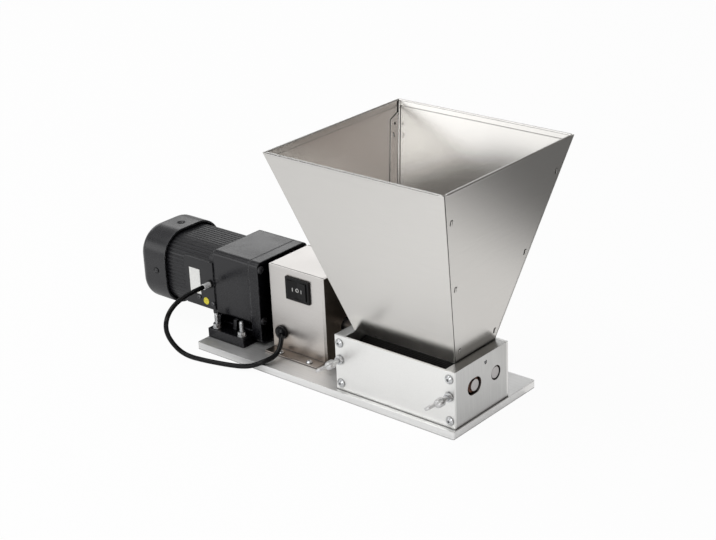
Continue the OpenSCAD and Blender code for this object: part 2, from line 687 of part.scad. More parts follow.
// Sheet steel cover over the coupling, with feet front and rear and open shaft slots at its ends
module coupling_cover() color("lightgray") difference() {
  union() {
    box(cover_x0, cover_x1, cover_y0, cover_y1, plate_t, cover_top);
    box(cover_x0, cover_x1, cover_y0 - cover_foot_w, cover_y1 + cover_foot_w, plate_t, plate_t + cover_t);
  }
  box(cover_x0 + cover_t, cover_x1 - cover_t, cover_y0 + cover_t, cover_y1 - cover_t,
    plate_t - 1, cover_top - cover_t);
  for (y = [cover_y0 + cover_t, cover_y1 - cover_t - lid_seam_w])
    box(cover_x0 + cover_t, cover_x1 - cover_t, y, y + lid_seam_w, cover_top - 0.6 * cover_t, cover_top + 1);
  bar_x(cover_x0 - 1, cover_x1 + 1, drive_y, drive_z, shaft_slot_d);
  box(cover_x0 - 1, cover_x1 + 1, drive_y - shaft_slot_d / 2, drive_y + shaft_slot_d / 2,
    plate_t - 1, drive_z);
  for (x = cover_screw_x, y = cover_screw_y)
    bar_z(plate_t - 1, plate_t + cover_t + 1, x, y, cover_screw_d + 2 * hole_gap);
  box(switch_x - switch_w / 2 + switch_step, switch_x + switch_w / 2 - switch_step,
    cover_y0 - 1, cover_y0 + cover_t + 1,
    switch_mid_z - switch_h / 2 + switch_step, switch_mid_z + switch_h / 2 - switch_step);
  bar_y(cover_y0 - 1, cover_y0 + cover_t + 1, grommet_x, grommet_z, grommet_neck_d + 2 * press_gap);
  bar_y(cover_y1 - cover_t - 1, cover_y1 + 1, gland_x, gland_z, gland_d + 2 * press_gap);
}
module cover_screws() color("silver") for (x = cover_screw_x, y = cover_screw_y)
  face_up(x, y, plate_t + cover_t) button_screw(cover_screw_d, cover_t + 0.7 * plate_t);

// Rocker switch: framed body in the front wall and a rocker on an upright pivot
module switch_housing() color("black") {
  half_w = switch_w / 2;
  half_h = switch_h / 2;
  step = switch_step + switch_fit;
  pocket_w = rocker_l / 2 + move_gap;
  pocket_h = rocker_h / 2 + move_gap;
  difference() {
    union() {
      box(switch_x - half_w, switch_x + half_w, cover_y0 - switch_lip, cover_y0,
        switch_mid_z - half_h, switch_mid_z + half_h);
      box(switch_x - half_w + step, switch_x + half_w - step, cover_y0 - switch_lip / 2,
        cover_y0 + cover_t + switch_depth, switch_mid_z - half_h + step, switch_mid_z + half_h - step);
    }
    box(switch_x - pocket_w, switch_x + pocket_w, cover_y0 - switch_lip - 1, cover_y0 + rocker_l / 2 + 1,
      switch_mid_z - pocket_h, switch_mid_z + pocket_h);
    bar_z(switch_mid_z - pocket_h - 0.9, switch_mid_z + pocket_h + 0.9, switch_x, rocker_y,
      rocker_pin_d + 2 * run_gap);
  }
}
module switch_rocker() color("black") translate([switch_x, rocker_y, switch_mid_z]) {
  pin_l = rocker_h + 2 * move_gap + 1.4;
  face = switch_lip + rocker_proud;
  lean = tan(rocker_swing);
  half = rocker_l / 2;
  translate([0, 0, -rocker_h / 2]) linear_extrude(rocker_h) intersection() {
    circle(half);
    polygon([[-half, rocker_depth], [half, rocker_depth], [half, -face], [0, -face + half * lean],
      [-half, -face]]);
  }
  translate([0, 0, -pin_l / 2]) cylinder(d = rocker_pin_d, h = pin_l);
}

// Rubber grommet where the motor cable enters the cover, with a nose along the cable
module cable_grommet() color("black") {
  difference() {
    union() {
      bar_y(cover_y0 - 3, cover_y0, grommet_x, grommet_z, grommet_d);
      bar_y(cover_y0 - 1, cover_y0 + cover_t + 1, grommet_x, grommet_z, grommet_neck_d);
      bar_y(cover_y0 + cover_t, cover_y0 + cover_t + 2, grommet_x, grommet_z, grommet_d - 2);
    }
    bar_y(cover_y0, cover_y0 + cover_t + 3, grommet_x, grommet_z, cable_d);
  }
  tip = cable_route[len(cable_route) - 1];
  run = cable_route[len(cable_route) - 2] - tip;
  translate(tip) rotate([0, acos(run[2] / norm(run)), atan2(run[1], run[0])])
    translate([0, 0, -4]) cylinder(d1 = cable_d + 3, d2 = cable_d + 2, h = 4);
}

// Cable gland for the mains lead in the rear wall
module mains_gland() color("black") difference() {
  union() {
    bar_y(cover_y1 - cover_t - 4, cover_y1 + 1, gland_x, gland_z, gland_d);
    face_rear(gland_x, cover_y1, gland_z) cylinder(d = 1.5 * gland_d, h = 5, $fn = 6);
    face_rear(gland_x, cover_y1 + 5, gland_z) cylinder(d = 1.35 * gland_d, h = 8);
    face_front(gland_x, cover_y1 - cover_t, gland_z) cylinder(d = 1.5 * gland_d, h = 4, $fn = 6);
  }
  bar_y(cover_y1 - 20, cover_y1 + 20, gland_x, gland_z, gland_d / 2);
}

// Run capacitor, its clamp on the rear wall and the terminal block on the plate
module run_capacitor() color("white") {
  x0 = coupling_x - capacitor_l / 2;
  bar_x(x0, x0 + capacitor_l, capacitor_y, capacitor_z, capacitor_d);
  for (s = [-1, 1]) box(x0 - 6, x0 + 1, capacitor_y + 5 * s - 0.4, capacitor_y + 5 * s + 0.4,
    capacitor_z - 3, capacitor_z + 3);
}
module capacitor_clamp() color("silver") {
  x0 = coupling_x - clamp_w / 2;
  outer = capacitor_d + 2.4;
  difference() {
    union() {
      bar_x(x0, x0 + clamp_w, capacitor_y, capacitor_z, outer);
      box(x0, x0 + clamp_w, capacitor_y, cover_y1 - cover_t, capacitor_z - 6, capacitor_z + 6);
    }
    bar_x(x0 - 1, x0 + clamp_w + 1, capacitor_y, capacitor_z, capacitor_d + 2 * press_gap);
  }
}
module terminal_block() color("ivory") {
  y1 = cover_y1 - cover_t - 1;
  difference() {
    box(cover_x1 - 42, cover_x1 - 6, y1 - 14, y1, plate_t, plate_t + 11);
    for (i = [0 : 3]) bar_z(plate_t + 6, plate_t + 12, cover_x1 - 37.5 + 9 * i, y1 - 7, 4);
  }
}

// Gear outline with a tooth centred on its x axis
module gear(teeth, face) {
  r = gear_module * teeth / 2;
  pitch = 360 / teeth;
  half = function(h) pitch / 4 * tooth_fill - h * tan(pressure_angle) / (r + h) * 180 / PI;
  low = half(-tooth_root);
  high = half(tooth_tip);
  corners = [[-low, r - tooth_root], [-high, r + tooth_tip], [high, r + tooth_tip], [low, r - tooth_root]];
  linear_extrude(face) polygon([for (i = [0 : teeth - 1], c = corners)
    [c[1] * cos(i * pitch + c[0]), c[1] * sin(i * pitch + c[0])]]);
}

// Gearbox casting: a box on a narrow waist and a wide foot, open towards the end cover
module gearbox_profile() {
  mid = (waist_top + gearbox_h) / 2;
  translate([0, plate_t + mid]) rounded_rect(gearbox_w, gearbox_h - waist_top, gearbox_round);
  translate([0, plate_t]) polygon([[-waist_w / 2, 0], [waist_w / 2, 0], [waist_w / 2, waist_low],
    [gearbox_w / 2, waist_top + gearbox_round], [-gearbox_w / 2, waist_top + gearbox_round],
    [-waist_w / 2, waist_low]]);
  translate([-foot_w / 2, plate_t]) square([foot_w, foot_t]);
}
module gearbox_housing() color("dimgray") difference() {
  union() {
    along_x(gearbox_x0, drive_y, 0) linear_extrude(gearbox_l) gearbox_profile();
    for (x = [gearbox_x0, (gearbox_x0 + gearbox_x1) / 2 - 2]) along_x(x, drive_y, plate_t) linear_extrude(4)
      polygon([[-foot_w / 2 + 14, foot_t], [foot_w / 2 - 14, foot_t], [gearbox_w / 2 - 1, waist_top],
        [-gearbox_w / 2 + 1, waist_top]]);
  }
  along_x(cavity_x0, drive_y, 0) linear_extrude(gearbox_l) polygon([[-cavity_low, cavity_floor],
    [cavity_low, cavity_floor], [cavity_low, plate_t + waist_low], [cavity_high, plate_t + waist_top],
    [cavity_high, cavity_top], [-cavity_high, cavity_top], [-cavity_high, plate_t + waist_top],
    [-cavity_low, plate_t + waist_low]]);
  bar_x(gearbox_x0 - 1, cavity_x0 + 1, drive_y, motor_z, 2 * (pinion_r + tooth_tip) + 2);
  bar_x(cavity_x0 - stub_bush_l, cavity_x0 + 1, mid_y, mid_z, stub_bush_d + 2 * press_gap);
  bar_x(cavity_x0 - stub_bush_l, cavity_x0 + 1, drive_y, drive_z, stub_bush_d + 2 * press_gap);
  for (p = gearbox_screw_places()) bar_x(gearbox_x1 - 12, gearbox_x1 + 1, p[0], p[1],
    gearbox_screw_d + 2 * hole_gap);
  for (x = foot_stud_x, y = foot_stud_y)
    bar_z(plate_t - 1, plate_t + foot_t + 1, x, y, stud_d + 2 * hole_gap);
}
function gearbox_screw_places() = [for (s = [-1, 1], z = [plate_t + waist_top + 8, cavity_top - 3])
  [drive_y + s * (gearbox_w / 2 - gearbox_screw_d / 2 - 2), z]];

module gearbox_end_cover() color("dimgray") difference() {
  h = gearbox_h - end_cover_lift;
  along_x(gearbox_x1, drive_y, plate_t + end_cover_lift + h / 2) linear_extrude(end_cover_t)
    rounded_rect(gearbox_w, h, gearbox_round);
  bar_x(gearbox_x1 - 1, end_cover_x1 + 1, drive_y, drive_z, output_ring_d + 2 * press_gap);
  bar_x(gearbox_x1 - 1, gearbox_x1 + stub_bush_l, mid_y, mid_z, stub_bush_d + 2 * press_gap);
  for (p = gearbox_screw_places()) bar_x(gearbox_x1 - 1, end_cover_x1 + 1, p[0], p[1],
    gearbox_screw_d + 2 * hole_gap);
}
module gearbox_cover_screws() color("silver") for (p = gearbox_screw_places())
  face_right(end_cover_x1, p[0], p[1]) button_screw(gearbox_screw_d, end_cover_t + 10);

// Studs, washers and nuts that hold the gearbox foot
module foot_studs() color("silver") for (x = foot_stud_x, y = foot_stud_y)
  bar_z(plate_t - stud_sunk, plate_t + foot_t + stud_h, x, y, stud_d);
module foot_washers() color("silver") for (x = foot_stud_x, y = foot_stud_y)
  face_up(x, y, plate_t + foot_t) washer(stud_d, washer_t);
module foot_nuts() color("silver") for (x = foot_stud_x, y = foot_stud_y)
  face_up(x, y, plate_t + foot_t + washer_t) hex_nut(stud_d, nut_h_k * stud_d);

// Output shaft, its wheel and its bearings
module output_shaft() color("silver") {
  bar_x(cavity_x0 - stub_bush_l + 0.5, second_gear_x, drive_y, drive_z, mid_shaft_d);
  bar_x(second_gear_x - 1.5, coupling_x - jaw_l / 2, drive_y, drive_z, shaft_d);
}
module output_gear() color("darkgray") difference() {
  along_x(second_gear_x, drive_y, drive_z) rotate(to_output + 180 + 180 / wheel_teeth)
    gear(wheel_teeth, gear_face);
  bar_x(second_gear_x - 1, second_gear_x + gear_face + 1, drive_y, drive_z, shaft_d + 2 * press_gap);
}
module output_bearings() color("lightgray") {
  ring_x(cavity_x0 - stub_bush_l, cavity_x0, drive_y, drive_z, stub_bush_d, mid_shaft_d + 2 * run_gap);
  ring_x(gearbox_x1, end_cover_x1, drive_y, drive_z, output_ring_d, shaft_d + 2 * run_gap);
}

// Intermediate wheel and pinion on one shaft, and its bushes
module intermediate_gear() color("darkgray") {
  bar_x(cavity_x0 - stub_bush_l + 0.5, gearbox_x1 + stub_bush_l - 0.5, mid_y, mid_z, mid_shaft_d);
  along_x(first_gear_x, mid_y, mid_z) rotate(to_motor) gear(wheel_teeth, gear_face);
  along_x(first_gear_x + gear_face - 1, mid_y, mid_z) rotate(to_output)
    gear(pinion_teeth, second_gear_x - first_gear_x + 1);
}
module intermediate_bushes() color("peru") for (x = [cavity_x0 - stub_bush_l, gearbox_x1])
  ring_x(x, x + stub_bush_l, mid_y, mid_z, stub_bush_d, mid_shaft_d + 2 * run_gap);

// Rotor shaft with the motor pinion, rotor core and motor bearings
module rotor_shaft() color("silver") {
  bar_x(fan_x - fan_depth - 2, first_gear_x - 1, drive_y, motor_z, rotor_shaft_d);
  along_x(first_gear_x - 2, drive_y, motor_z) rotate(to_motor + 180 + 180 / pinion_teeth)
    gear(pinion_teeth, gear_face + 3);
}
module rotor_core() color("slategray")
  ring_x(stator_x0, stator_x1, drive_y, motor_z, 2 * rotor_r, rotor_shaft_d + 2 * press_gap);
module motor_bearings() color("lightgray") for (x = [motor_x0 - motor_ring_l, motor_x1 - front_shield_t])
  ring_x(x, x + motor_ring_l, drive_y, motor_z, motor_ring_d, rotor_shaft_d + 2 * run_gap);

// Motor body: ribbed rounded square with a square flange and a flat panel on the front side
module motor_profile() difference() {
  rounded_rect(motor_w, motor_w, motor_corner);
  c = motor_w / 2 - motor_corner;
  for (quarter = [0 : 3], i = [0 : 7]) rotate(90 * quarter) translate([c, c])
    rotate(10 + 10 * i) translate([motor_corner + 0.3, 0]) circle(r = 1.1, $fn = 16);
  for (quarter = [0 : 3], i = [-3 : 3]) rotate(90 * quarter)
    translate([motor_w / 2 + 0.3, rib_pitch * i]) circle(r = 1.1, $fn = 16);
}
module motor_housing() color("dimgray") difference() {
  union() {
    along_x(motor_x0, drive_y, motor_z) linear_extrude(motor_l) motor_profile();
    along_x(motor_x1 - flange_t, drive_y, motor_z) linear_extrude(flange_t)
      rounded_rect(flange_w, flange_w, flange_corner);
    box(pad_x0, pad_x1, pad_y, drive_y - stator_r - 1, pad_z0, pad_z1);
  }
  bar_x(motor_x0 - 1, motor_x1 + 1, drive_y, motor_z, 2 * stator_r);
  bar_y(pad_y - 1, drive_y, motor_gland_x, motor_gland_z, 6);
  for (p = panel_screw_places) bar_y(pad_y - 1, pad_y + 3.5, p[0], p[1], panel_screw_d + 2 * hole_gap);
}
module stator_core() color("slategray")
  ring_x(stator_x0, stator_x1, drive_y, motor_z, 2 * (stator_r - press_gap), 2 * (rotor_r + air_gap));
module stator_windings() color("sienna") for (x = [stator_x0 - winding_l, stator_x1])
  ring_x(x, x + winding_l, drive_y, motor_z, 2 * (stator_r - winding_step),
    2 * (rotor_r + air_gap + winding_step));
module motor_front_shield() color("gray") difference() {
  x0 = motor_x1 - front_shield_t;
  bar_x(x0, motor_x1, drive_y, motor_z, 2 * (stator_r - press_gap));
  bar_x(x0 - 1, x0 + motor_ring_l, drive_y, motor_z, motor_ring_d + 2 * press_gap);
  bar_x(x0 - 1, motor_x1 + 1, drive_y, motor_z, rotor_shaft_d + 4);
}
module motor_rear_shield() color("gray") difference() {
  w = fan_cover_w - 2 * fan_cover_wall - 2 * move_gap;
  along_x(shield_x0, drive_y, motor_z) linear_extrude(shield_t)
    rounded_rect(w, w, fan_cover_corner - fan_cover_wall);
  bar_x(motor_x0 - motor_ring_l, motor_x0 + 1, drive_y, motor_z, motor_ring_d + 2 * press_gap);
  bar_x(shield_x0 - 1, motor_x0 + 1, drive_y, motor_z, rotor_shaft_d + 4);
  for (i = [0 : 3]) fan_screw_place(i) translate([0, 0, -14])
    cylinder(d = small_screw_d + 2 * hole_gap, h = 15);
}

// Fan and its cover, a rounded cup with a slotted end
module cooling_fan() color("black") difference() {
  union() {
    bar_x(fan_x - fan_depth, fan_x, drive_y, motor_z, 18);
    bar_x(fan_x - 2, fan_x, drive_y, motor_z, 2 * fan_r - 2);
    for (i = [0 : 8]) along_x(fan_x - fan_depth, drive_y, motor_z) rotate(40 * i)
      translate([7, -0.8, 0]) cube([fan_r - 7, 1.6, fan_depth]);
  }
  bar_x(fan_x - fan_depth - 1, fan_x + 1, drive_y, motor_z, rotor_shaft_d + 2 * press_gap);
}
function cup_ring(x, half, r) = [for (q = [0 : 3], i = [0 : 12])
  let (a = 90 * q + 90 * i / 12, c = half - r, sy = q == 0 || q == 3 ? 1 : -1, sz = q < 2 ? 1 : -1)
  [x, drive_y + sy * c + r * cos(a), motor_z + sz * c + r * sin(a)]];
module cup(x0, x1, half, r, fillet) skin(concat(
  [for (i = [0 : 8]) let (t = 90 * i / 8, drop = fillet * (1 - sin(t)))
    cup_ring(x0 + fillet * (1 - cos(t)), half - drop, r - drop)],
  [cup_ring(x1, half, r)]));
module fan_screw_place(i) translate([motor_x0 - 0.65 * shield_t, drive_y, motor_z]) rotate([90 * i, 0, 0])
  translate([0, 0, fan_cover_w / 2]) children();
module fan_cover() color("dimgray") {
  half = fan_cover_w / 2;
  w = fan_cover_wall;
  difference() {
    cup(fan_cover_x0, fan_cover_x1, half, fan_cover_corner, fan_cover_round);
    cup(fan_cover_x0 + w, fan_cover_x1 + 1, half - w, fan_cover_corner - w, fan_cover_round - w);
    along_x(fan_cover_x0 - 1, drive_y, motor_z) for (i = [0 : 15]) rotate(22.5 * i)
      translate([14, -1.5, 0]) cube([16, 3, w + 2]);
    for (i = [0 : 3]) fan_screw_place(i) {
      translate([0, 0, -w - 1]) cylinder(d = small_screw_d + 2 * hole_gap, h = w + 2);
      translate([0, 0, -w / 2]) cylinder(d1 = small_screw_d, d2 = 2.4 * small_screw_d, h = w / 2 + 0.01);
    }
  }
}
module fan_cover_screws() color("black") for (i = [0 : 3]) fan_screw_place(i)
  translate([0, 0, -0.2]) difference() {
    translate([0, 0, -8]) cylinder(d = small_screw_d, h = 8);
    translate([0, 0, -0.8]) cylinder(d = socket_k * small_screw_d, h = 2, $fn = 6);
  }

// Blank label, plain round label, earth screw and cable gland on the motor's front panel
label_x = motor_x1 - 29;
label_z = motor_z + 1.5;
label_w = 16;
label_h = 29;
label_t = 0.4;
earth_label_x = motor_x1 - 14;
earth_label_z = motor_z - 19;
earth_label_d = 8;
panel_screw_d = 3;
panel_screw_places = [[motor_x1 - 4, motor_z - 20], [motor_x1 - 24.5, motor_z - 16.8]];
module rating_label() color("whitesmoke") box(label_x - label_w / 2, label_x + label_w / 2,
  pad_y - label_t, pad_y, label_z - label_h / 2, label_z + label_h / 2);
module earth_label() color("gold")
  bar_y(pad_y - label_t, pad_y, earth_label_x, earth_label_z, earth_label_d);
module panel_screws() color("silver") for (p = panel_screw_places)
  face_front(p[0], pad_y, p[1]) button_screw(panel_screw_d, 3);
module motor_cable_gland() color("black") difference() {
  tip_y = cable_route[0][1];
  union() {
    bar_y(pad_y - 2, pad_y, motor_gland_x, motor_gland_z, motor_gland_d);
    bar_y(tip_y, pad_y - 1, motor_gland_x, motor_gland_z, cable_d + 1);
    bar_y(pad_y - 1, pad_y + 3, motor_gland_x, motor_gland_z, 6 - 2 * press_gap);
  }
}

// Motor cable: a tube swept along the route
function unit(v) = v / norm(v);
function route_way(i) = unit(cable_route[min(i + 1, len(cable_route) - 1)] - cable_route[max(i - 1, 0)]);
function cable_ring(i) = let (t = route_way(i), u = unit(cross(t, cable_guide)), v = cross(t, u))
  [for (j = [0 : cable_sides - 1]) let (a = 360 * j / cable_sides)
    cable_route[i] + cable_d / 2 * (cos(a) * u + sin(a) * v)];
module motor_cable() color("black") skin([for (i = [0 : len(cable_route) - 1]) cable_ring(i)]);

base_plate();
mill_end_plate_left();
mill_end_plate_right();
mill_front_plate();
mill_rear_plate();
front_plate_screws();
rear_plate_screws();
mill_base_screws();
drive_roller();
idler_roller();
idler_shaft();
drive_bushes();
idler_slide_bushes();
wing_screw_left();
wing_screw_right();
wing_lock_nuts();
hopper_front_panel();
hopper_rear_panel();
hopper_left_panel();
hopper_right_panel();
hopper_foot_screws();
coupling_motor_hub();
coupling_mill_hub();
coupling_spider();
coupling_cover();
cover_screws();
switch_housing();
switch_rocker();
cable_grommet();
mains_gland();
run_capacitor();
capacitor_clamp();
terminal_block();
gearbox_housing();
gearbox_end_cover();
gearbox_cover_screws();
foot_studs();
foot_nuts();
foot_washers();
output_shaft();
output_gear();
output_bearings();
intermediate_gear();
intermediate_bushes();
rotor_shaft();
rotor_core();
motor_bearings();
motor_housing();
stator_core();
stator_windings();
motor_front_shield();
motor_rear_shield();
cooling_fan();
fan_cover();
fan_cover_screws();
rating_label();
earth_label();
panel_screws();
motor_cable_gland();
motor_cable();
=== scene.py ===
# %% [markdown]
# # An electric grain mill, dressed in Blender
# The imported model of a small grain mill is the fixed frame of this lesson: a geared motor on the left, a
# sheet steel cover over the shaft, a two-roller mill and a large hopper, all on one aluminium plate.
# The frame brings exact shapes. The lesson adds a camera, light, finishes and the small forms that a
# solid model leaves plain, such as threads, cast wings and smooth mouldings.

# %% Load the frame
import math
import bmesh
import bpy
from mathutils import Matrix, Vector


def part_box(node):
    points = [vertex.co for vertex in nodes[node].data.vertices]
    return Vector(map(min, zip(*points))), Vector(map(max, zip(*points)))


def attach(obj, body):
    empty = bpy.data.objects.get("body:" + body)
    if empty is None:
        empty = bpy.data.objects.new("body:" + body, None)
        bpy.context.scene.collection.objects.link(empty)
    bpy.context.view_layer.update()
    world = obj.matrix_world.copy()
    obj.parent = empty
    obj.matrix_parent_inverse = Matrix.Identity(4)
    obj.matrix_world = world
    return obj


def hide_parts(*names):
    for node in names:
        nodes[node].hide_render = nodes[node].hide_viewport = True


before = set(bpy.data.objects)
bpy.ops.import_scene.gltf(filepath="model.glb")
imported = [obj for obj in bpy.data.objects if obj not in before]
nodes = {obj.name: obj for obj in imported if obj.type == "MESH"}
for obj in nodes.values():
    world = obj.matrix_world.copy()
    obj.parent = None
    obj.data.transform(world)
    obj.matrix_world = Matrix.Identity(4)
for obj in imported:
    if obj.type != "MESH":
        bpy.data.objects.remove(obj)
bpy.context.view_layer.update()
scene = bpy.context.scene

# %% [markdown]
# ## The camera
# The photograph was taken with a long lens from the front right, a little above the hopper's rim.
# A camera can be placed by eye, but here its angles come from the plate's and hopper's edges in the
# photograph, so the object's axes fall where they should. A camera looks along its own -Z, so its matrix
# is built from three directions: right, up, and back towards the photographer.

# %% Camera
picture_width, focal_pixels, sensor_width = 716, 1618.5, 36
turn, lift, roll = (math.radians(a) for a in (41.28, 23.0, -2.594))
aim, distance = Vector((0.04935, -0.05364, 0.14067)), 1.5594
back = Vector((math.sin(turn) * math.cos(lift), -math.cos(turn) * math.cos(lift), math.sin(lift)))
right = Vector((math.cos(turn), math.sin(turn), 0))
up = back.cross(right)
across = right * math.cos(roll) + up * math.sin(roll)
upward = up * math.cos(roll) - right * math.sin(roll)
camera = bpy.data.objects.new("camera", bpy.data.cameras.new("camera"))
scene.collection.objects.link(camera)
camera.matrix_world = Matrix((across, upward, back)).transposed().to_4x4()
camera.matrix_world.translation = aim + back * distance
camera.data.sensor_fit = "HORIZONTAL"
camera.data.sensor_width = sensor_width
camera.data.lens = focal_pixels * sensor_width / picture_width
camera.data.clip_end = 50
scene.camera = camera
print("lens", round(camera.data.lens, 2), "mm, at", [round(v, 3) for v in camera.matrix_world.translation])

# %% [markdown]
# ## The motor cable
# A short black cable leaves the motor's gland, drops to the table and climbs into the grommet of the steel
# cover. It could be a mesh tube, but a Bezier curve with a round bevel stays smooth however close the
# camera comes, and its own line is the cable's centre. Its points are the route of the solid model. Blender
# counts the knots' radius into a curve's box, so the radius is given there and the bevel is one unit deep.

# %% Cable route
gland_tip = Vector((-0.178, -0.0472, 0.063))
gearbox_foot = Vector((-0.172, 0.004, 0.0))
grommet_face = Vector((-0.083, -0.028, 0.0285))
cable_out = [(0, 0, 0), (0, -8.8, 0), (0, -18.8, -0.4), (0, -28.8, -1.4), (0, -37.8, -3.4), (0, -45.8, -7),
             (0, -52.3, -12.5), (0, -56.3, -19.5), (0, -57.3, -27), (0, -55.8, -34.5), (0.5, -52.8, -42),
             (2, -49.3, -49)]
cable_floor = [(-0.5, -97.5, 8.2), (5.5, -95.2, 4.4), (14, -94, 3), (24, -92.8, 2.9), (35, -90.8, 2.9),
               (46, -88.2, 2.9), (57, -85.4, 3), (67, -82.8, 3.4), (76, -80.6, 4.4), (84, -78.4, 6.2),
               (91, -75.6, 8.8), (96.5, -70.8, 11.6), (99.8, -64.4, 13)]
cable_in = [(12, -25.8, -13.9), (11.6, -19.6, -10.9), (10, -14.2, -6.7), (7, -9.4, -2.9), (3.4, -5, -0.5)]
mm = 0.001
route = [start + Vector(p) * mm for start, part in
         ((gland_tip, cable_out), (gearbox_foot, cable_floor), (grommet_face, cable_in)) for p in part]
cable_d = 0.0052

line = bpy.data.curves.new("motor_cable_line", "CURVE")
line.dimensions = "3D"
line.bevel_depth, line.bevel_resolution, line.resolution_u = 1.0, 6, 6
line.use_fill_caps = True
spline = line.splines.new("BEZIER")
spline.bezier_points.add(len(route) - 1)
for knot, place in zip(spline.bezier_points, route):
    knot.co = place
    knot.radius = cable_d / 2
    knot.handle_left_type = knot.handle_right_type = "AUTO"
motor_cable = bpy.data.objects.new("motor_cable_curve", line)
scene.collection.objects.link(motor_cable)
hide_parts("motor_cable")
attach(motor_cable, "frame")

# %% [markdown]
# ## Table and light
# The mill stands on a plain white table in a bright studio. The table is a real diffuse floor, so it bounces
# light up into the sheet steel and takes the mill's shadow. For the camera and for reflections a Light Path
# mix lifts it to white, which leaves the lamps at a plain level. What the metal mirrors fades to the left and
# close to the mill, where an Ambient Occlusion node stands for the shade that the mill throws.

# %% A flat face and a node
def plane_mesh(name, corners):
    mesh = bpy.data.meshes.new(name)
    bm = bmesh.new()
    bm.faces.new([bm.verts.new(c) for c in corners])
    bm.to_mesh(mesh)
    bm.free()
    obj = bpy.data.objects.new(name, mesh)
    scene.collection.objects.link(obj)
    return obj


def put(tree, kind, feeds=None, **settings):
    node = tree.nodes.new("ShaderNode" + kind)
    for name, value in settings.items():
        setattr(node, name, value)
    for key, value in (feeds or {}).items():
        if isinstance(value, bpy.types.NodeSocket):
            tree.links.new(value, node.inputs[key])
        else:
            node.inputs[key].default_value = value
    return node


# %% [markdown]
# put makes a node, sets its options, and feeds its sockets with plain values or with the outputs of other
# nodes. With it a material reads from top to bottom, in the order in which its values are worked out.

# %% Table
table_white = bpy.data.materials.new("table_white")
table_white.use_nodes = True
tree = table_white.node_tree
tree.nodes.clear()
path = put(tree, "LightPath")
mirrored = put(tree, "Math", {0: path.outputs["Is Glossy Ray"], 1: path.outputs["Is Transmission Ray"]},
               operation="MAXIMUM")
mirror_share = put(tree, "Math", {0: mirrored.outputs[0], 1: 0.55}, operation="MULTIPLY")
camera_share = put(tree, "Math", {0: path.outputs["Is Camera Ray"], 1: 0.95}, operation="MULTIPLY")
lift_share = put(tree, "Math", {0: mirror_share.outputs[0], 1: camera_share.outputs[0]}, operation="MAXIMUM")
where = put(tree, "TexCoord")
sides = put(tree, "SeparateXYZ", {0: where.outputs["Object"]})
falling = put(tree, "MapRange", {"Value": sides.outputs["X"], "From Min": -0.35, "From Max": 0.08,
                                 "To Min": 0.80, "To Max": 1.12})
shaded = put(tree, "AmbientOcclusion", {"Distance": 0.13}, samples=8)
mirror_level = put(tree, "Math", {0: falling.outputs[0], 1: shaded.outputs["AO"]}, operation="MULTIPLY")
strength = put(tree, "Mix", {0: mirrored.outputs[0], 2: 1.0, 3: mirror_level.outputs[0]})
matt = put(tree, "BsdfDiffuse", {"Color": (0.93, 0.93, 0.93, 1)})
glow = put(tree, "Emission", {"Color": (1, 1, 1, 1), "Strength": strength.outputs[0]})
both = put(tree, "MixShader", {0: lift_share.outputs[0], 1: matt.outputs[0], 2: glow.outputs[0]})
put(tree, "OutputMaterial", {"Surface": both.outputs[0]})
half_table, table_z = 4, -0.0003
table = plane_mesh("table", [(x * half_table, y * half_table, table_z)
                             for x, y in ((-1, -1), (1, -1), (1, 1), (-1, 1))])
table.data.materials.append(table_white)
print("table", [round(v, 2) for v in table.dimensions])

# %% [markdown]
# Sheet steel shows what stands round it more than its own colour, so the studio is arranged for its
# reflections. Four softboxes light it: front left, by the camera, back left above the motor, and overhead.
# An area lamp shines along its own -Z, so to_track_quat turns that axis towards the point it looks at.

# %% Softboxes
def softbox(name, place, look_at, size, watts):
    lamp = bpy.data.lights.new(name, "AREA")
    lamp.shape = "RECTANGLE"
    lamp.size, lamp.size_y = size
    lamp.energy = watts
    obj = bpy.data.objects.new(name, lamp)
    scene.collection.objects.link(obj)
    obj.location = place
    obj.rotation_euler = (Vector(look_at) - Vector(place)).to_track_quat("-Z", "Y").to_euler()


softbox("softbox_front_left", (-1.25, -1.6, 0.55), (0.1, 0, 0.2), (2.4, 0.75), 7.5)
softbox("softbox_by_camera", (0.80, -2.1, 0.95), (0.05, 0, 0.12), (1.5, 1.0), 10.2)
softbox("softbox_back_left", (-1.62, 1.12, 0.86), (0.0, 0, 0.1), (1.9, 0.44), 3.9)
softbox("softbox_overhead", (-0.6, -0.8, 1.9), (0.05, -0.05, 0.1), (1.6, 1.6), 14)

# %% [markdown]
# Six cards draw the steel's tones: one on the table fades away behind the mill, one dark one is a painted
# shadow on the table behind it, one hangs over the near rim, and three stand at the back and at the right.
# Each is one flat face that emits light and shows only in reflections, so moving one changes a tone and
# leaves the soft light as it is.

# %% Reflection cards
fade_way = (0.2, 1, 0)
fade_ends = ("From Min", "From Max", "To Min", "To Max")


def glowing_card(name, corners, colour, fade=None):
    card = plane_mesh(name, corners)
    card.visible_camera = card.visible_diffuse = card.visible_shadow = card.visible_transmission = False
    paint = bpy.data.materials.new(name)
    paint.use_nodes = True
    tree = paint.node_tree
    tree.nodes.clear()
    light = put(tree, "Emission", {"Color": (*colour, 1)})
    if fade:
        where = put(tree, "TexCoord")
        along = put(tree, "VectorMath", {0: where.outputs["Object"], 1: fade_way}, operation="DOT_PRODUCT")
        level = put(tree, "MapRange", {"Value": along.outputs["Value"], **dict(zip(fade_ends, fade))},
                    interpolation_type="SMOOTHSTEP")
        tree.links.new(level.outputs[0], light.inputs["Strength"])
    put(tree, "OutputMaterial", {"Surface": light.outputs[0]})
    card.data.materials.append(paint)
    return card


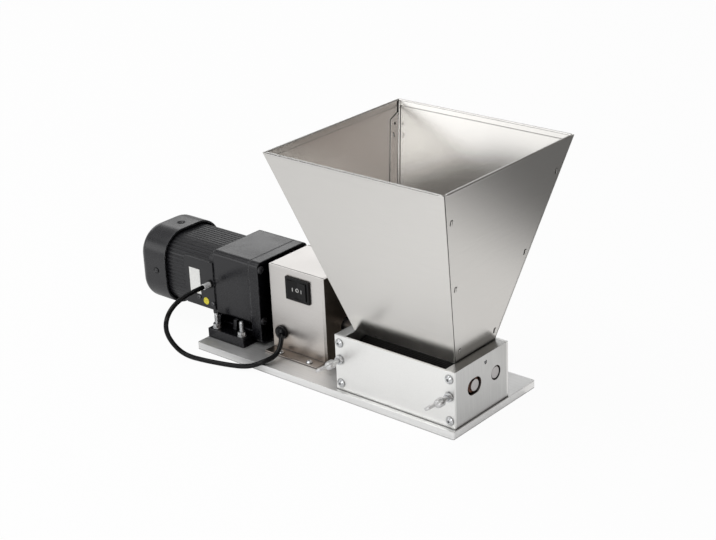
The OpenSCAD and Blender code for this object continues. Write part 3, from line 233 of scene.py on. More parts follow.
card_list = [
    ("card_on_table", [(0.0, 0.0, 0.001), (1.9, 0.57, 0.001), (1.9, 1.9, 0.001), (0.0, 1.7, 0.001)],
     (1.0, 0.99, 0.98), (0.224, 0.424, 0.80, 0.16)),
    # A dark card on the table behind the mill: a painted shadow, seen only in reflections.
    ("card_behind_mill",
     [(-0.1, 0.069, 0.002), (0.17, 0.069, 0.002), (0.17, 0.6, 0.002), (-0.1, 0.6, 0.002)],
     (0.012, 0.010, 0.008)),
    ("card_upright", [(0.15, 1.7, 0.0), (1.9, 0.5, 0.0), (1.9, 0.5, 1.4), (0.15, 1.7, 1.4)],
     (0.13, 0.12, 0.11)),
    ("card_over_near_rim",
     [(-0.03, -0.121, 0.266), (0.19, -0.121, 0.266), (0.19, -0.121, 0.290), (-0.03, -0.121, 0.290)],
     (0.03, 0.02, 0.015)),
    ("card_at_right", [(1.9, 0.5, 0.0), (2.1, -0.4, 0.0), (2.1, -0.4, 1.5), (1.9, 0.5, 1.5)],
     (0.2, 0.18, 0.17)),
    ("card_right_of_camera",
     [(1.75, -1.45, 0.2), (2.3, -0.4, 0.2), (2.3, -0.4, 1.5), (1.75, -1.45, 1.5)],
     (0.52, 0.41, 0.36))]
cards = [glowing_card(*card) for card in card_list]
print("cards", [card.name for card in cards])

# %% [markdown]
# The room round the table is a plain grey world, which fills the shadows. The camera sees white instead, by a
# Light Path mix like the table's, so the picture has a white background without more light on the mill.

# %% World
world = bpy.data.worlds.new("studio")
scene.world = world
world.use_nodes = True
tree = world.node_tree
tree.nodes.clear()
room = put(tree, "Background", {"Color": (0.42, 0.42, 0.42, 1), "Strength": 1.0})
white = put(tree, "Background", {"Color": (1, 1, 1, 1), "Strength": 1.0})
path = put(tree, "LightPath")
both = put(tree, "MixShader", {0: path.outputs["Is Camera Ray"], 1: room.outputs[0], 2: white.outputs[0]})
put(tree, "OutputWorld", {"Surface": both.outputs[0]})
scene.view_settings.view_transform = "Standard"
print("world lights the object at", [round(v, 2) for v in room.inputs["Color"].default_value[:3]])

# %% [markdown]
# ## Shared effects
# Several finishes need the same six effects: softened edges with wear and a painted highlight, painted shade
# in crevices, a mask for a box-shaped region, brushed lines, fine grain, and the faint clouding that handling
# leaves.
# Each is a node group, built once and placed in every material that uses it with its own values. Patterns and
# masks read Object coordinates, which here are metres. A Bevel node rounds the edges of a solid in its
# shading alone, and where the rounded normal leaves the true one, there is an edge for wear and a painted
# highlight.

# %% Softened edges
def start_group(name, inputs, outputs):
    group = bpy.data.node_groups.new(name, "ShaderNodeTree")
    for label, kind, value in inputs:
        group.interface.new_socket(label, in_out="INPUT", socket_type=kind).default_value = value
    for label, kind in outputs:
        group.interface.new_socket(label, in_out="OUTPUT", socket_type=kind)
    return group, group.nodes.new("NodeGroupInput"), group.nodes.new("NodeGroupOutput")


soft_edges, given, gives = start_group(
    "soft_edges", [("Radius", "NodeSocketFloat", 0.0006), ("Wear", "NodeSocketFloat", 0.5)],
    [("Normal", "NodeSocketVector"), ("Edge", "NodeSocketFloat")])
rounded = put(soft_edges, "Bevel", {"Radius": given.outputs["Radius"]}, samples=6)
surface = put(soft_edges, "NewGeometry")
agree = put(soft_edges, "VectorMath", {0: rounded.outputs[0], 1: surface.outputs["Normal"]},
            operation="DOT_PRODUCT")
rim = put(soft_edges, "MapRange", {"Value": agree.outputs["Value"], "From Min": 0.99, "From Max": 0.8})
where = put(soft_edges, "TexCoord")
patchy = put(soft_edges, "TexNoise", {"Vector": where.outputs["Object"], "Scale": 220.0, "Detail": 3.0})
broken = put(soft_edges, "MapRange", {"Value": patchy.outputs[0], "From Min": 0.36, "From Max": 0.62})
worn_and_lit = put(soft_edges, "Math", {0: rim.outputs[0], 1: broken.outputs[0]}, operation="MULTIPLY")
edge = put(soft_edges, "Math", {0: worn_and_lit.outputs[0], 1: given.outputs["Wear"]}, operation="MULTIPLY",
           use_clamp=True)
soft_edges.links.new(rounded.outputs[0], gives.inputs["Normal"])
soft_edges.links.new(edge.outputs[0], gives.inputs["Edge"])
print("group", soft_edges.name, "gives", [s.name for s in gives.inputs if s.name])

# %% [markdown]
# Where two sheets meet or a plate overhangs, little light gets in. Ambient Occlusion measures that within a
# reach: a short one finds seams, and a long one finds whole sheltered walls.

# %% Painted shade in crevices
crevices, given, gives = start_group(
    "crevice_shade", [("Reach", "NodeSocketFloat", 0.003)], [("Shade", "NodeSocketFloat")])
near = put(crevices, "AmbientOcclusion", {"Distance": given.outputs["Reach"]}, samples=8)
shade = put(crevices, "MapRange", {"Value": near.outputs["AO"], "From Min": 0.45, "From Max": 0.85,
                                   "To Min": 1.0, "To Max": 0.0})
crevices.links.new(shade.outputs[0], gives.inputs["Shade"])
print("group", crevices.name, "ready")

# %% [markdown]
# One solid can carry two finishes, such as a milled outside and a dark inside. Painting faces would need a
# changed mesh, so a mask tells whether a point lies inside a box, given by its middle and its half sizes.

# %% Inside a box
box_mask, given, gives = start_group(
    "inside_a_box",
    [("Middle", "NodeSocketVector", (0.0, 0.0, 0.0)), ("Half", "NodeSocketVector", (1.0, 1.0, 1.0))],
    [("Inside", "NodeSocketFloat")])
where = put(box_mask, "TexCoord")
offset = put(box_mask, "VectorMath", {0: where.outputs["Object"], 1: given.outputs["Middle"]},
             operation="SUBTRACT")
share = put(box_mask, "VectorMath", {0: offset.outputs[0], 1: given.outputs["Half"]}, operation="DIVIDE")
sides = put(box_mask, "VectorMath", {0: share.outputs[0]}, operation="ABSOLUTE")
parts = put(box_mask, "SeparateXYZ", {0: sides.outputs[0]})
wide = put(box_mask, "Math", {0: parts.outputs[0], 1: parts.outputs[1]}, operation="MAXIMUM")
far = put(box_mask, "Math", {0: wide.outputs[0], 1: parts.outputs[2]}, operation="MAXIMUM")
inside = put(box_mask, "MapRange", {"Value": far.outputs[0], "From Min": 0.995, "From Max": 1.0,
                                    "To Min": 1.0, "To Max": 0.0})
box_mask.links.new(inside.outputs[0], gives.inputs["Inside"])
print("group", box_mask.name, "ready")

# %% [markdown]
# The last three effects are noises. A picture of brushed steel would do for the first, but a noise never
# repeats and needs no unwrapping. Stretch makes the lines: its low numbers run along them, and a high one
# packs them close.

# %% Brushed lines
brushed_lines, given, gives = start_group(
    "brushed_lines", [("Stretch", "NodeSocketVector", (40.0, 40.0, 2600.0))], [("Lines", "NodeSocketFloat")])
where = put(brushed_lines, "TexCoord")
stretched = put(brushed_lines, "VectorMath", {0: where.outputs["Object"], 1: given.outputs["Stretch"]},
                operation="MULTIPLY")
hair = put(brushed_lines, "TexNoise", {"Vector": stretched.outputs[0], "Scale": 1.0, "Detail": 3.0,
                                       "Roughness": 0.65})
clear = put(brushed_lines, "MapRange", {"Value": hair.outputs[0], "From Min": 0.3, "From Max": 0.7})
brushed_lines.links.new(clear.outputs[0], gives.inputs["Lines"])
print("group", brushed_lines.name, "ready")

# %% [markdown]
# Cast, moulded and machined faces have an even grain instead. It is the same noise without a stretch, at a
# scale of some thousand to the metre, so its grains are about half a millimetre.

# %% Fine grain
fine_grain, given, gives = start_group(
    "fine_grain", [("Scale", "NodeSocketFloat", 2400.0)], [("Grain", "NodeSocketFloat")])
where = put(fine_grain, "TexCoord")
beads = put(fine_grain, "TexNoise", {"Vector": where.outputs["Object"], "Scale": given.outputs["Scale"],
                                     "Detail": 2.0})
clear = put(fine_grain, "MapRange", {"Value": beads.outputs[0], "From Min": 0.3, "From Max": 0.7})
fine_grain.links.new(clear.outputs[0], gives.inputs["Grain"])
print("group", fine_grain.name, "ready")

# %% [markdown]
# Hands leave wide, faint clouds. Distortion pulls this noise out of its round blobs. It moves only the
# roughness, so it shows where light glances off a face.

# %% Handling marks
handling, given, gives = start_group(
    "handling_marks", [("Scale", "NodeSocketFloat", 18.0)], [("Marks", "NodeSocketFloat")])
where = put(handling, "TexCoord")
cloud = put(handling, "TexNoise", {"Vector": where.outputs["Object"], "Scale": given.outputs["Scale"],
                                   "Detail": 5.0, "Roughness": 0.55, "Distortion": 0.6})
clear = put(handling, "MapRange", {"Value": cloud.outputs[0], "From Min": 0.35, "From Max": 0.68})
handling.links.new(clear.outputs[0], gives.inputs["Marks"])
print("group", handling.name, "ready")

# %% [markdown]
# ## Finishes
# Every finish is a Principled shader. Numbers that are the same all over, such as a metal's Metallic, are set
# on its own sockets. What varies comes from the groups: lines or grain move the colour and the roughness and
# give a shallow bump, marks move the roughness, edges come out lighter from wear and a painted highlight,
# and seams come out darker from painted shade.
# Two short helpers place a group with its values and blend two colours by a mask.

# %% Placing a group and blending colours
def use(tree, group, **values):
    node = tree.nodes.new("ShaderNodeGroup")
    node.node_tree = group
    for name, value in values.items():
        node.inputs[name].default_value = value
    return node


def blend_colour(tree, share, low, high):
    mix = put(tree, "Mix", data_type="RGBA")
    for socket, value in ((mix.inputs[0], share), (mix.inputs[6], low), (mix.inputs[7], high)):
        if isinstance(value, bpy.types.NodeSocket):
            tree.links.new(value, socket)
        else:
            socket.default_value = (*value, 1) if isinstance(value, tuple) else value
    return mix.outputs[2]


# %% [markdown]
# One function makes every finish. within paints a box in another colour, shelters paint shade on what stands
# close to other pieces, and corner_shade paints shade into the corners of dark enamel by raising Metallic
# there:
# a metal that dark mirrors almost nothing, so the enamel's clear gloss stays on its open sides.

# %% The common part of a finish
finishes = {}
seam_shade_share = 0.12


def finish(name, colour, rough, metal=0.0, grain=2400.0, lines=None, marks=18.0, depth=0.00002,
           radius=0.0006, wear_and_highlight=0.5, wear_and_highlight_colour=None, spread=0.12, rough_spread=0.1, seam_shade=0.0,
           within=None, shelters=(), corner_shade=0.0):
    material = bpy.data.materials.new(name)
    material.use_nodes = True
    tree = material.node_tree
    tree.nodes.clear()
    shader = put(tree, "BsdfPrincipled", {"Metallic": metal})
    put(tree, "OutputMaterial", {"Surface": shader.outputs[0]})
    edges = use(tree, soft_edges, Radius=radius, Wear=wear_and_highlight)
    cloud = use(tree, handling, Scale=marks)
    if lines:
        texture = use(tree, brushed_lines, Stretch=lines).outputs[0]
    else:
        texture = use(tree, fine_grain, Scale=grain).outputs[0]
    darker = tuple(c * (1 - spread) for c in colour)
    lighter = tuple(min(1.0, c * (1 + 0.5 * spread)) for c in colour)
    tint = blend_colour(tree, texture, darker, lighter)
    # Lighter edges: partly wear, partly a painted highlight where rounded edges catch the light.
    if wear_and_highlight_colour:
        tint = blend_colour(tree, edges.outputs["Edge"], tint, wear_and_highlight_colour)
    if within:
        middle, half, dark = within
        tint = blend_colour(tree, use(tree, box_mask, Middle=middle, Half=half).outputs[0], tint, dark)
    for reach, middle, half, dim in shelters:
        here = use(tree, box_mask, Middle=middle, Half=half).outputs[0]
        close = use(tree, crevices, Reach=reach).outputs[0]
        deep = put(tree, "Math", {0: close, 1: here}, operation="MULTIPLY")
        tint = blend_colour(tree, deep.outputs[0], tint, dim)
    # Painted shade: the colour darkens where Ambient Occlusion finds a seam or crevice close by.
    if seam_shade:
        seam_shade_colour = tuple(c * seam_shade_share for c in colour)
        tint = blend_colour(tree, use(tree, crevices, Reach=seam_shade).outputs[0], tint, seam_shade_colour)
    # Painted shade: Ambient Occlusion raises Metallic in the corners, which darkens the enamel there.
    if corner_shade:
        tree.links.new(use(tree, crevices, Reach=corner_shade).outputs[0], shader.inputs["Metallic"])
    tree.links.new(tint, shader.inputs["Base Color"])
    mixed = put(tree, "Math", {0: texture, 1: cloud.outputs[0]}, operation="ADD")
    sheen = put(tree, "MapRange", {"Value": mixed.outputs[0], "From Min": 0.0, "From Max": 2.0,
                                   "To Min": rough - rough_spread, "To Max": rough + rough_spread})
    tree.links.new(sheen.outputs[0], shader.inputs["Roughness"])
    bump = put(tree, "Bump", {"Strength": 1.0, "Distance": depth, "Height": texture,
                              "Normal": edges.outputs["Normal"]})
    tree.links.new(bump.outputs[0], shader.inputs["Normal"])
    finishes[name] = material


# %% [markdown]
# A bare metal's colour is the tint of its reflections, so Metallic is 1. Rolled and ground pieces get lines
# along their working direction, machined faces a fine grain. The hollow of the mill lies in deep shade,
# which one box between its plates paints on all of them.

# %% Aluminium
finish("plate_aluminium", (0.97, 0.97, 0.955), 0.5, 1.0, lines=(24.0, 1900.0, 1900.0), radius=0.0006,
       depth=0.000004, spread=0.10, seam_shade=0.0025)
low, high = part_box("mill_front_plate")
box_low, box_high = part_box("mill_end_plate_left")
mill_middle = ((low.x + high.x) / 2, (box_low.y + box_high.y) / 2, (low.z + high.z) / 2)
in_from_ends, in_from_sides, in_from_top = 0.0119, 0.0001, 0.0008
mill_half = ((high.x - low.x) / 2 - in_from_ends, (box_high.y - box_low.y) / 2 - in_from_sides,
             (high.z - low.z) / 2 - in_from_top)
mill_hollow = (mill_middle, mill_half, (0.008, 0.0077, 0.0075))
finish("mill_aluminium", (0.93, 0.93, 0.915), 0.42, 1.0, grain=2600.0, radius=0.0005, depth=0.000008,
       spread=0.08, seam_shade=0.004, within=mill_hollow)
# The end plates are brushed upright, and their darker colour is painted shade from the hopper overhead.
finish("mill_end_aluminium_shaded", (0.67, 0.67, 0.66), 0.40, 1.0, lines=(1900.0, 1900.0, 24.0), radius=0.0005,
       depth=0.000004, spread=0.12, seam_shade=0.004, within=mill_hollow)
print("aluminium", list(finishes))

# %% [markdown]
# Hopper and cover are the same bright sheet, brushed in level lines. The cover stands between gearbox and
# hopper, so it is dimmed where they shelter it: a little all over, and much more on its right wall.

# %% Sheet steel
sheet_lines = (30.0, 30.0, 2600.0)
finish("hopper_steel", (0.73, 0.715, 0.69), 0.25, 1.0, lines=sheet_lines, radius=0.0005,
       depth=0.0000005, spread=0.04, rough_spread=0.015, marks=9.0, seam_shade=0.0021)
finish("rim_steel", (0.76, 0.75, 0.73), 0.22, 1.0, lines=sheet_lines, radius=0.0003,
       depth=0.0000005, spread=0.04, rough_spread=0.04)
low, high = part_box("coupling_cover")
cover_all = (0.07, (low + high) / 2, (0.2, 0.2, 0.2), (0.33, 0.285, 0.25))
cover_end = (0.08, (high.x, (low.y + high.y) / 2, high.z / 2), (0.004, 0.2, 0.2), (0.07, 0.055, 0.042))
finish("cover_steel", (0.735, 0.712, 0.69), 0.31, 1.0, lines=sheet_lines, radius=0.0011,
       depth=0.0000005, spread=0.04, rough_spread=0.04, marks=14.0, seam_shade=0.003,
       shelters=(cover_all, cover_end))
print("with sheet steel", len(finishes), "finishes")

# %% [markdown]
# The small parts are turned, cast or plated. A box again paints the sleeve of the cable gland near white as a
# painted highlight against its dark nut, and gives the barrel of a roller, deep in the mill's hollow, painted
# shade while its shaft stays bright.

# %% Small metal parts
finish("zinc_steel", (0.62, 0.63, 0.64), 0.26, 1.0, grain=1500.0, radius=0.0005, depth=0.00001, spread=0.15,
       seam_shade=0.0009)
# The gland's sleeve is painted near white: a painted highlight where its glossy surface would catch a lamp.
low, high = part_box("motor_cable_gland")
sleeve_from_tip, sleeve_half = 0.0044, (0.01, 0.0046, 0.01)
sleeve_middle = ((low.x + high.x) / 2, low.y + sleeve_from_tip, (low.z + high.z) / 2)
finish("gland_painted_highlight", (0.012, 0.012, 0.012), 0.42, 0.5, grain=1500.0, radius=0.0004, depth=0.000004,
       within=(sleeve_middle, sleeve_half, (0.93, 0.93, 0.93)))
finish("cast_zinc", (0.64, 0.64, 0.64), 0.42, 1.0, grain=1100.0, radius=0.0006, depth=0.00002, spread=0.12)
finish("dark_zinc", (0.13, 0.13, 0.135), 0.34, 1.0, grain=1500.0, radius=0.0004, depth=0.00001, spread=0.2)
# The drive roller's barrel lies in the mill's dark hollow, so its colour carries painted shade; its shaft
# ends stay bright.
low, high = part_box("idler_roller")
barrel_over = 0.0005
barrel_half = ((high.x - low.x) / 2 + barrel_over, 1.0, 1.0)
finish("roller_steel", (0.52, 0.505, 0.50), 0.32, 1.0, lines=(2200.0, 60.0, 60.0), radius=0.0003,
       depth=0.000006, within=(((low.x + high.x) / 2, 0.0, 0.0), barrel_half, (0.02, 0.019, 0.018)))
# The idler roller lies in the same hollow and is painted dark all over: painted shade.
finish("roller_in_painted_shade", (0.012, 0.0115, 0.011), 0.55, 0.6, grain=1400.0, radius=0.0002, depth=0.00001)
turned_lines = (1800.0, 80.0, 80.0)
finish("bronze", (0.17, 0.085, 0.06), 0.42, 1.0, lines=turned_lines, radius=0.0003, depth=0.000006)
finish("coupling_alloy", (0.58, 0.59, 0.60), 0.38, 1.0, lines=turned_lines, radius=0.0005, depth=0.000006)
finish("laminations", (0.24, 0.24, 0.26), 0.45, 1.0, lines=(2000.0, 40.0, 40.0), radius=0.0003, depth=0.00002)
finish("copper", (0.60, 0.22, 0.09), 0.35, 0.9, lines=(1400.0, 300.0, 300.0), radius=0.0008,
       depth=0.00004, spread=0.4)
print("all metals", len(finishes))

# %% [markdown]
# Enamel and plastics are not metals: their colour is their own, under a clear reflection. Enamel and the fan
# cover show wear on their edges, lightened further by a painted highlight. For the darkest pieces the clear
# reflection is turned down, or the white studio would make them grey.

# %% Enamel, plastics and rubber
low_gloss = 0.2
finish("black_enamel", (0.009, 0.009, 0.0115), 0.25, grain=1300.0, radius=0.0024, depth=0.000012, spread=0.3,
       wear_and_highlight_colour=(0.16, 0.16, 0.17), wear_and_highlight=0.35, corner_shade=0.05)
finish("motor_enamel", (0.009, 0.009, 0.0115), 0.40, grain=1300.0, radius=0.0006, depth=0.000012, spread=0.3,
       wear_and_highlight_colour=(0.10, 0.10, 0.105), wear_and_highlight=0.2)
finish("fan_plastic", (0.017, 0.017, 0.0195), 0.28, grain=1500.0, radius=0.0008, depth=0.00001, spread=0.3,
       wear_and_highlight_colour=(0.24, 0.24, 0.25), wear_and_highlight=0.9)
finish("switch_plastic", (0.006, 0.006, 0.0065), 0.34, grain=1800.0, radius=0.0006, depth=0.000008,
       spread=0.3)
finish("cable_rubber", (0.0035, 0.0035, 0.004), 0.15, grain=1600.0, radius=0.0003, depth=0.000008, spread=0.3)
finish("spider_rubber", (0.42, 0.03, 0.03), 0.5, grain=1200.0, radius=0.0006)
finish("white_plastic", (0.78, 0.78, 0.76), 0.4, grain=1500.0, radius=0.0005, spread=0.06)
finish("yellow_label", (0.76, 0.66, 0.04), 0.42, grain=900.0, radius=0.0003, spread=0.2)
finish("label_paper", (0.82, 0.82, 0.80), 0.5, grain=700.0, radius=0.0003, spread=0.06)
finish("mark_white", (0.5, 0.5, 0.49), 0.45, grain=1500.0, radius=0.0002, spread=0.06)
for name in ("switch_plastic", "cable_rubber", "roller_in_painted_shade"):
    shader = next(n for n in finishes[name].node_tree.nodes if n.type == "BSDF_PRINCIPLED")
    shader.inputs["Specular IOR Level"].default_value = low_gloss
print("finishes", sorted(finishes))

# %% [markdown]
# Each node of the frame comes with a plain material named after its slot, and the finish of that name takes
# its place. Seven nodes look different from others in their slot, so they have a finish of their own.

# %% Every node gets its finish
special = {
    "rating_label": "label_paper",
    "idler_roller": "roller_in_painted_shade",
    "panel_screws": "dark_zinc",
    "motor_cable_gland": "gland_painted_highlight",
    "motor_housing": "motor_enamel",
    "mill_end_plate_left": "mill_end_aluminium_shaded",
    "mill_end_plate_right": "mill_end_aluminium_shaded"}
for name, obj in nodes.items():
    slot = obj.data.materials[0].name
    obj.material_slots[0].material = finishes[special.get(name, slot)]
motor_cable.data.materials.append(finishes["cable_rubber"])
print("finished", len(nodes), "nodes")

# %% [markdown]
# ## The fan cover
# The cap over the motor's fan is a pressed cup: a square with wide round corners, a rolled end and a thin
# wall. In the solid model its curves are flat facets. Here a cube is bevelled along its four long edges
# and then round its closed end, which gives true arcs, and Solidify gives it its wall.

# %% Fan cover
def new_piece(name, bm, material, body, slot_name, *stands_for):
    mesh = bpy.data.meshes.new(name)
    bm.to_mesh(mesh)
    bm.free()
    obj = bpy.data.objects.new(name, mesh)
    scene.collection.objects.link(obj)
    mesh.materials.append(finishes[material])
    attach(obj, body)
    if stands_for:
        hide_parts(*stands_for)
    return obj


def smooth_by_angle(obj, degrees):
    for face in obj.data.polygons:
        face.use_smooth = True
    obj.data.set_sharp_from_angle(angle=math.radians(degrees))
    even = obj.modifiers.new("even_normals", "WEIGHTED_NORMAL")
    even.keep_sharp = True


low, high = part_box("fan_cover")
middle, size = (low + high) / 2, high - low
wall, corner, rolled = 0.002, 0.030, 0.011
bm = bmesh.new()
bmesh.ops.create_cube(bm, size=1.0)
bmesh.ops.scale(bm, vec=size, verts=bm.verts)
bmesh.ops.translate(bm, vec=middle, verts=bm.verts)
long_edges = [e for e in bm.edges if abs((e.verts[0].co - e.verts[1].co).x) > size.x / 2]
bmesh.ops.bevel(bm, geom=long_edges, offset=corner, affect="EDGES", segments=16, profile=0.5, material=-1)
open_end = [f for f in bm.faces if f.normal.x > 0.9]
bmesh.ops.delete(bm, geom=open_end, context="FACES_ONLY")
closed_end = next(f for f in bm.faces if f.normal.x < -0.9)
bmesh.ops.bevel(bm, geom=list(closed_end.edges), offset=rolled, affect="EDGES", segments=10, profile=0.5,
                material=-1)
bmesh.ops.recalc_face_normals(bm, faces=bm.faces)
fan_cover = new_piece("fan_cover_pressed", bm, "fan_plastic", "frame", "fan_plastic", "fan_cover")
thick = fan_cover.modifiers.new("wall", "SOLIDIFY")
thick.thickness, thick.offset = wall, -1
print("fan cover", len(fan_cover.data.polygons), "faces before its wall")

# %% [markdown]
# Air enters through sixteen slots round the shaft, and four screws sit in dimples on the flat sides. They
# could be modelled into the cup's faces, but a Boolean modifier cuts them in one go. The cutters are one
# scratch mesh, and the cut cup is kept as a plain mesh, so the cutters can be removed.

# %% Slots and dimples in the fan cover
axis_y, axis_z = middle.y, middle.z
slot_count, slot_size, slot_from_axis = 16, (0.006, 0.016, 0.003), 0.022
screw_count, sides_round = 4, 32
dimple_inner, dimple_outer, dimple_deep, dimple_drop = 0.0026, 0.0050, 0.0019, 0.0008
hole_r, hole_deep, hole_drop = 0.00215, 0.006, 0.0033
cut = bmesh.new()
for i in range(slot_count):
    made = bmesh.ops.create_cube(cut, size=1.0)["verts"]
    bmesh.ops.scale(cut, vec=slot_size, verts=made)
    bmesh.ops.translate(cut, vec=(low.x, slot_from_axis, 0), verts=made)
    way_round = Matrix.Rotation(math.radians(360 / slot_count * i), 3, "X")
    bmesh.ops.rotate(cut, cent=(0, 0, 0), matrix=way_round, verts=made)
    bmesh.ops.translate(cut, vec=(0, axis_y, axis_z), verts=made)
screw_low, screw_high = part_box("fan_cover_screws")
screw_x = (screw_low.x + screw_high.x) / 2
for i in range(screw_count):
    dimple = []
    for inner, outer, deep, drop in ((dimple_inner, dimple_outer, dimple_deep, dimple_drop),
                                     (hole_r, hole_r, hole_deep, hole_drop)):
        made = bmesh.ops.create_cone(cut, cap_ends=True, segments=sides_round, radius1=inner, radius2=outer,
                                     depth=deep)["verts"]
        bmesh.ops.translate(cut, vec=(0, 0, size.z / 2 - drop), verts=made)
        dimple += made
    way_round = Matrix.Rotation(math.radians(360 / screw_count * i), 3, "X")
    bmesh.ops.rotate(cut, cent=(0, 0, 0), matrix=way_round, verts=dimple)
    bmesh.ops.translate(cut, vec=(screw_x, axis_y, axis_z), verts=dimple)
cutter_mesh = bpy.data.meshes.new("fan_cover_cutters")
cut.to_mesh(cutter_mesh)
cut.free()
cutter = bpy.data.objects.new("fan_cover_cutters", cutter_mesh)
scene.collection.objects.link(cutter)
holes = fan_cover.modifiers.new("holes", "BOOLEAN")
holes.operation, holes.solver, holes.object, holes.use_self = "DIFFERENCE", "EXACT", cutter, True
finished = bpy.data.meshes.new_from_object(fan_cover.evaluated_get(bpy.context.evaluated_depsgraph_get()))
fan_cover.modifiers.clear()
fan_cover.data = finished
bpy.data.objects.remove(cutter)
smooth_by_angle(fan_cover, 32)
print("fan cover", len(fan_cover.data.polygons), "faces with its holes")

# %% [markdown]
# ## Rolled rims and bent corners
# The hopper's four upper edges are folded over and end in a narrow round roll, and its flanges are bent from
# the front and rear panels, so each inner corner has a small bend. Both catch the light as thin bright lines.
# A curve with a bevel would do. Rods made from cones with rounded ends stay plain meshes, all in one piece.

# %% Rolled rims
sharp_turn, end_round = 1.0, 0.6


def rod(bm, start, end, radius):
    way = end - start
    made = bmesh.ops.create_cone(bm, cap_ends=True, segments=20, radius1=radius, radius2=radius,
                                 depth=way.length)["verts"]
    rims = [e for e in bm.edges
            if e.verts[0] in made and e.verts[1] in made and e.calc_face_angle(0) > sharp_turn]
    bmesh.ops.rotate(bm, cent=(0, 0, 0), matrix=way.to_track_quat("Z", "Y").to_matrix(), verts=made)
    bmesh.ops.translate(bm, vec=(start + end) / 2, verts=made)
    bmesh.ops.bevel(bm, geom=rims, offset=radius * end_round, affect="EDGES", segments=3, profile=0.5,
                    material=-1)


front_low, front_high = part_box("hopper_front_panel")
rim_low = Vector((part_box("hopper_left_panel")[0].x, front_low.y, 0))
rim_high = Vector((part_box("hopper_right_panel")[1].x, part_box("hopper_rear_panel")[1].y, 0))
roll_r, roll_end_x, roll_end_y = 0.0014, 0.002, 0.005
rim_z = front_high.z - roll_r
bm = bmesh.new()
for y in (rim_low.y + roll_r, rim_high.y - roll_r):
    rod(bm, Vector((rim_low.x + roll_end_x, y, rim_z)), Vector((rim_high.x - roll_end_x, y, rim_z)), roll_r)
for x in (rim_low.x + roll_r, rim_high.x - roll_r):
    rod(bm, Vector((x, rim_low.y + roll_end_y, rim_z)), Vector((x, rim_high.y - roll_end_y, rim_z)), roll_r)
print("rolls", len(bm.faces), "faces")

# %% [markdown]
# A bend runs down each inner corner. The walls lean, so at any depth below the rim a corner stands in by the
# lean times that depth. The bend lies inside it by one sheet, or by two where a flange doubles the wall.

# %% Bent corners
bend_r, bend_low, bend_high, bend_in, sheet = 0.0009, 0.185, 0.002, 0.6, 0.0012
foot_half = Vector((0.0617, 0.0325))
rim_half = (rim_high - rim_low) / 2
rim_middle = (rim_high + rim_low) / 2
hopper_tall = 0.198
lean_x = (rim_half.x - foot_half.x) / hopper_tall
lean_y = (rim_half.y - foot_half.y) / hopper_tall
in_x = (2 * sheet + bend_in * bend_r) * math.hypot(1, lean_x)
in_y = (sheet + bend_in * bend_r) * math.hypot(1, lean_y)
for side_x in (-1, 1):
    for side_y in (-1, 1):
        ends = []
        for down in (bend_low, bend_high):
            across_x = side_x * (rim_half.x - lean_x * down - in_x)
            across_y = side_y * (rim_half.y - lean_y * down - in_y)
            ends.append(Vector((rim_middle.x + across_x, rim_middle.y + across_y, front_high.z - down)))
        rod(bm, ends[0], ends[1], bend_r)
rims = new_piece("hopper_rolls_and_bends", bm, "rim_steel", "frame", "hopper_steel")
smooth_by_angle(rims, 40)
print("rolls and bends", len(rims.data.polygons), "faces")

# %% [markdown]
# ## Wing screws
# The two wing screws that lock the roller gap are zinc castings: a round hub with two lobed wings that lean
# outwards. A sculpt would do it, but simple forms have the same soft shape with cleaner edges: a hub turned
# with spin, and wings that are the convex hull of a large and a small disc with its rims bevelled.

# %% Hubs and wings
stand, wing_thick, wing_round = 0.011, 0.0032, 0.0012
lobe_discs = ((0.0081, 0.012, 0.0044, 28), (0.0018, 0.0049, 0.0028, 20))


def turned(bm, profile, steps=32):
    verts = [bm.verts.new((r, 0, z)) for r, z in profile]
    edges = [bm.edges.new(pair) for pair in zip(verts, verts[1:])]
    bmesh.ops.spin(bm, geom=verts + edges, cent=(0, 0, 0), axis=(0, 0, 1), angle=math.tau, steps=steps,
                   use_merge=True)
    bmesh.ops.remove_doubles(bm, verts=bm.verts, dist=1e-6)


def add_part(bm, part, name):
    mesh = bpy.data.meshes.new(name)
    part.to_mesh(mesh)
    part.free()
    bm.from_mesh(mesh)
    bpy.data.meshes.remove(mesh)


def wing(bm, side):
    flat = bmesh.new()
    for x, y, radius, segments in lobe_discs:
        for z in (-wing_thick / 2, wing_thick / 2):
            loop = bmesh.ops.create_circle(flat, segments=segments, radius=radius)["verts"]
            bmesh.ops.translate(flat, vec=(side * x, stand + y, z), verts=loop)
    hull = bmesh.ops.convex_hull(flat, input=flat.verts)
    spare = {e for e in hull["geom_interior"] + hull["geom_unused"] if isinstance(e, bmesh.types.BMVert)}
    bmesh.ops.delete(flat, geom=list(spare), context="VERTS")
    loose = [v for v in flat.verts if not v.link_faces]
    bmesh.ops.delete(flat, geom=loose, context="VERTS")
    bmesh.ops.dissolve_limit(flat, angle_limit=math.radians(7), verts=flat.verts, edges=flat.edges)
    bmesh.ops.recalc_face_normals(flat, faces=flat.faces)
    rims = [e for e in flat.edges if e.calc_face_angle(0) > sharp_turn]
    bmesh.ops.bevel(flat, geom=rims, offset=wing_round, affect="EDGES", segments=4, profile=0.5, material=-1,
                    clamp_overlap=True)
    bmesh.ops.rotate(flat, cent=(0, 0, 0), matrix=Matrix.Rotation(math.radians(90), 3, "X"), verts=flat.verts)
    add_part(bm, flat, "wing")


# %% [markdown]
# Both screws are built at the origin along Z, where their numbers are plain radii and heights. A matrix then
# turns each one to its own angle, tips it forward and carries it to the front plate at roller height.

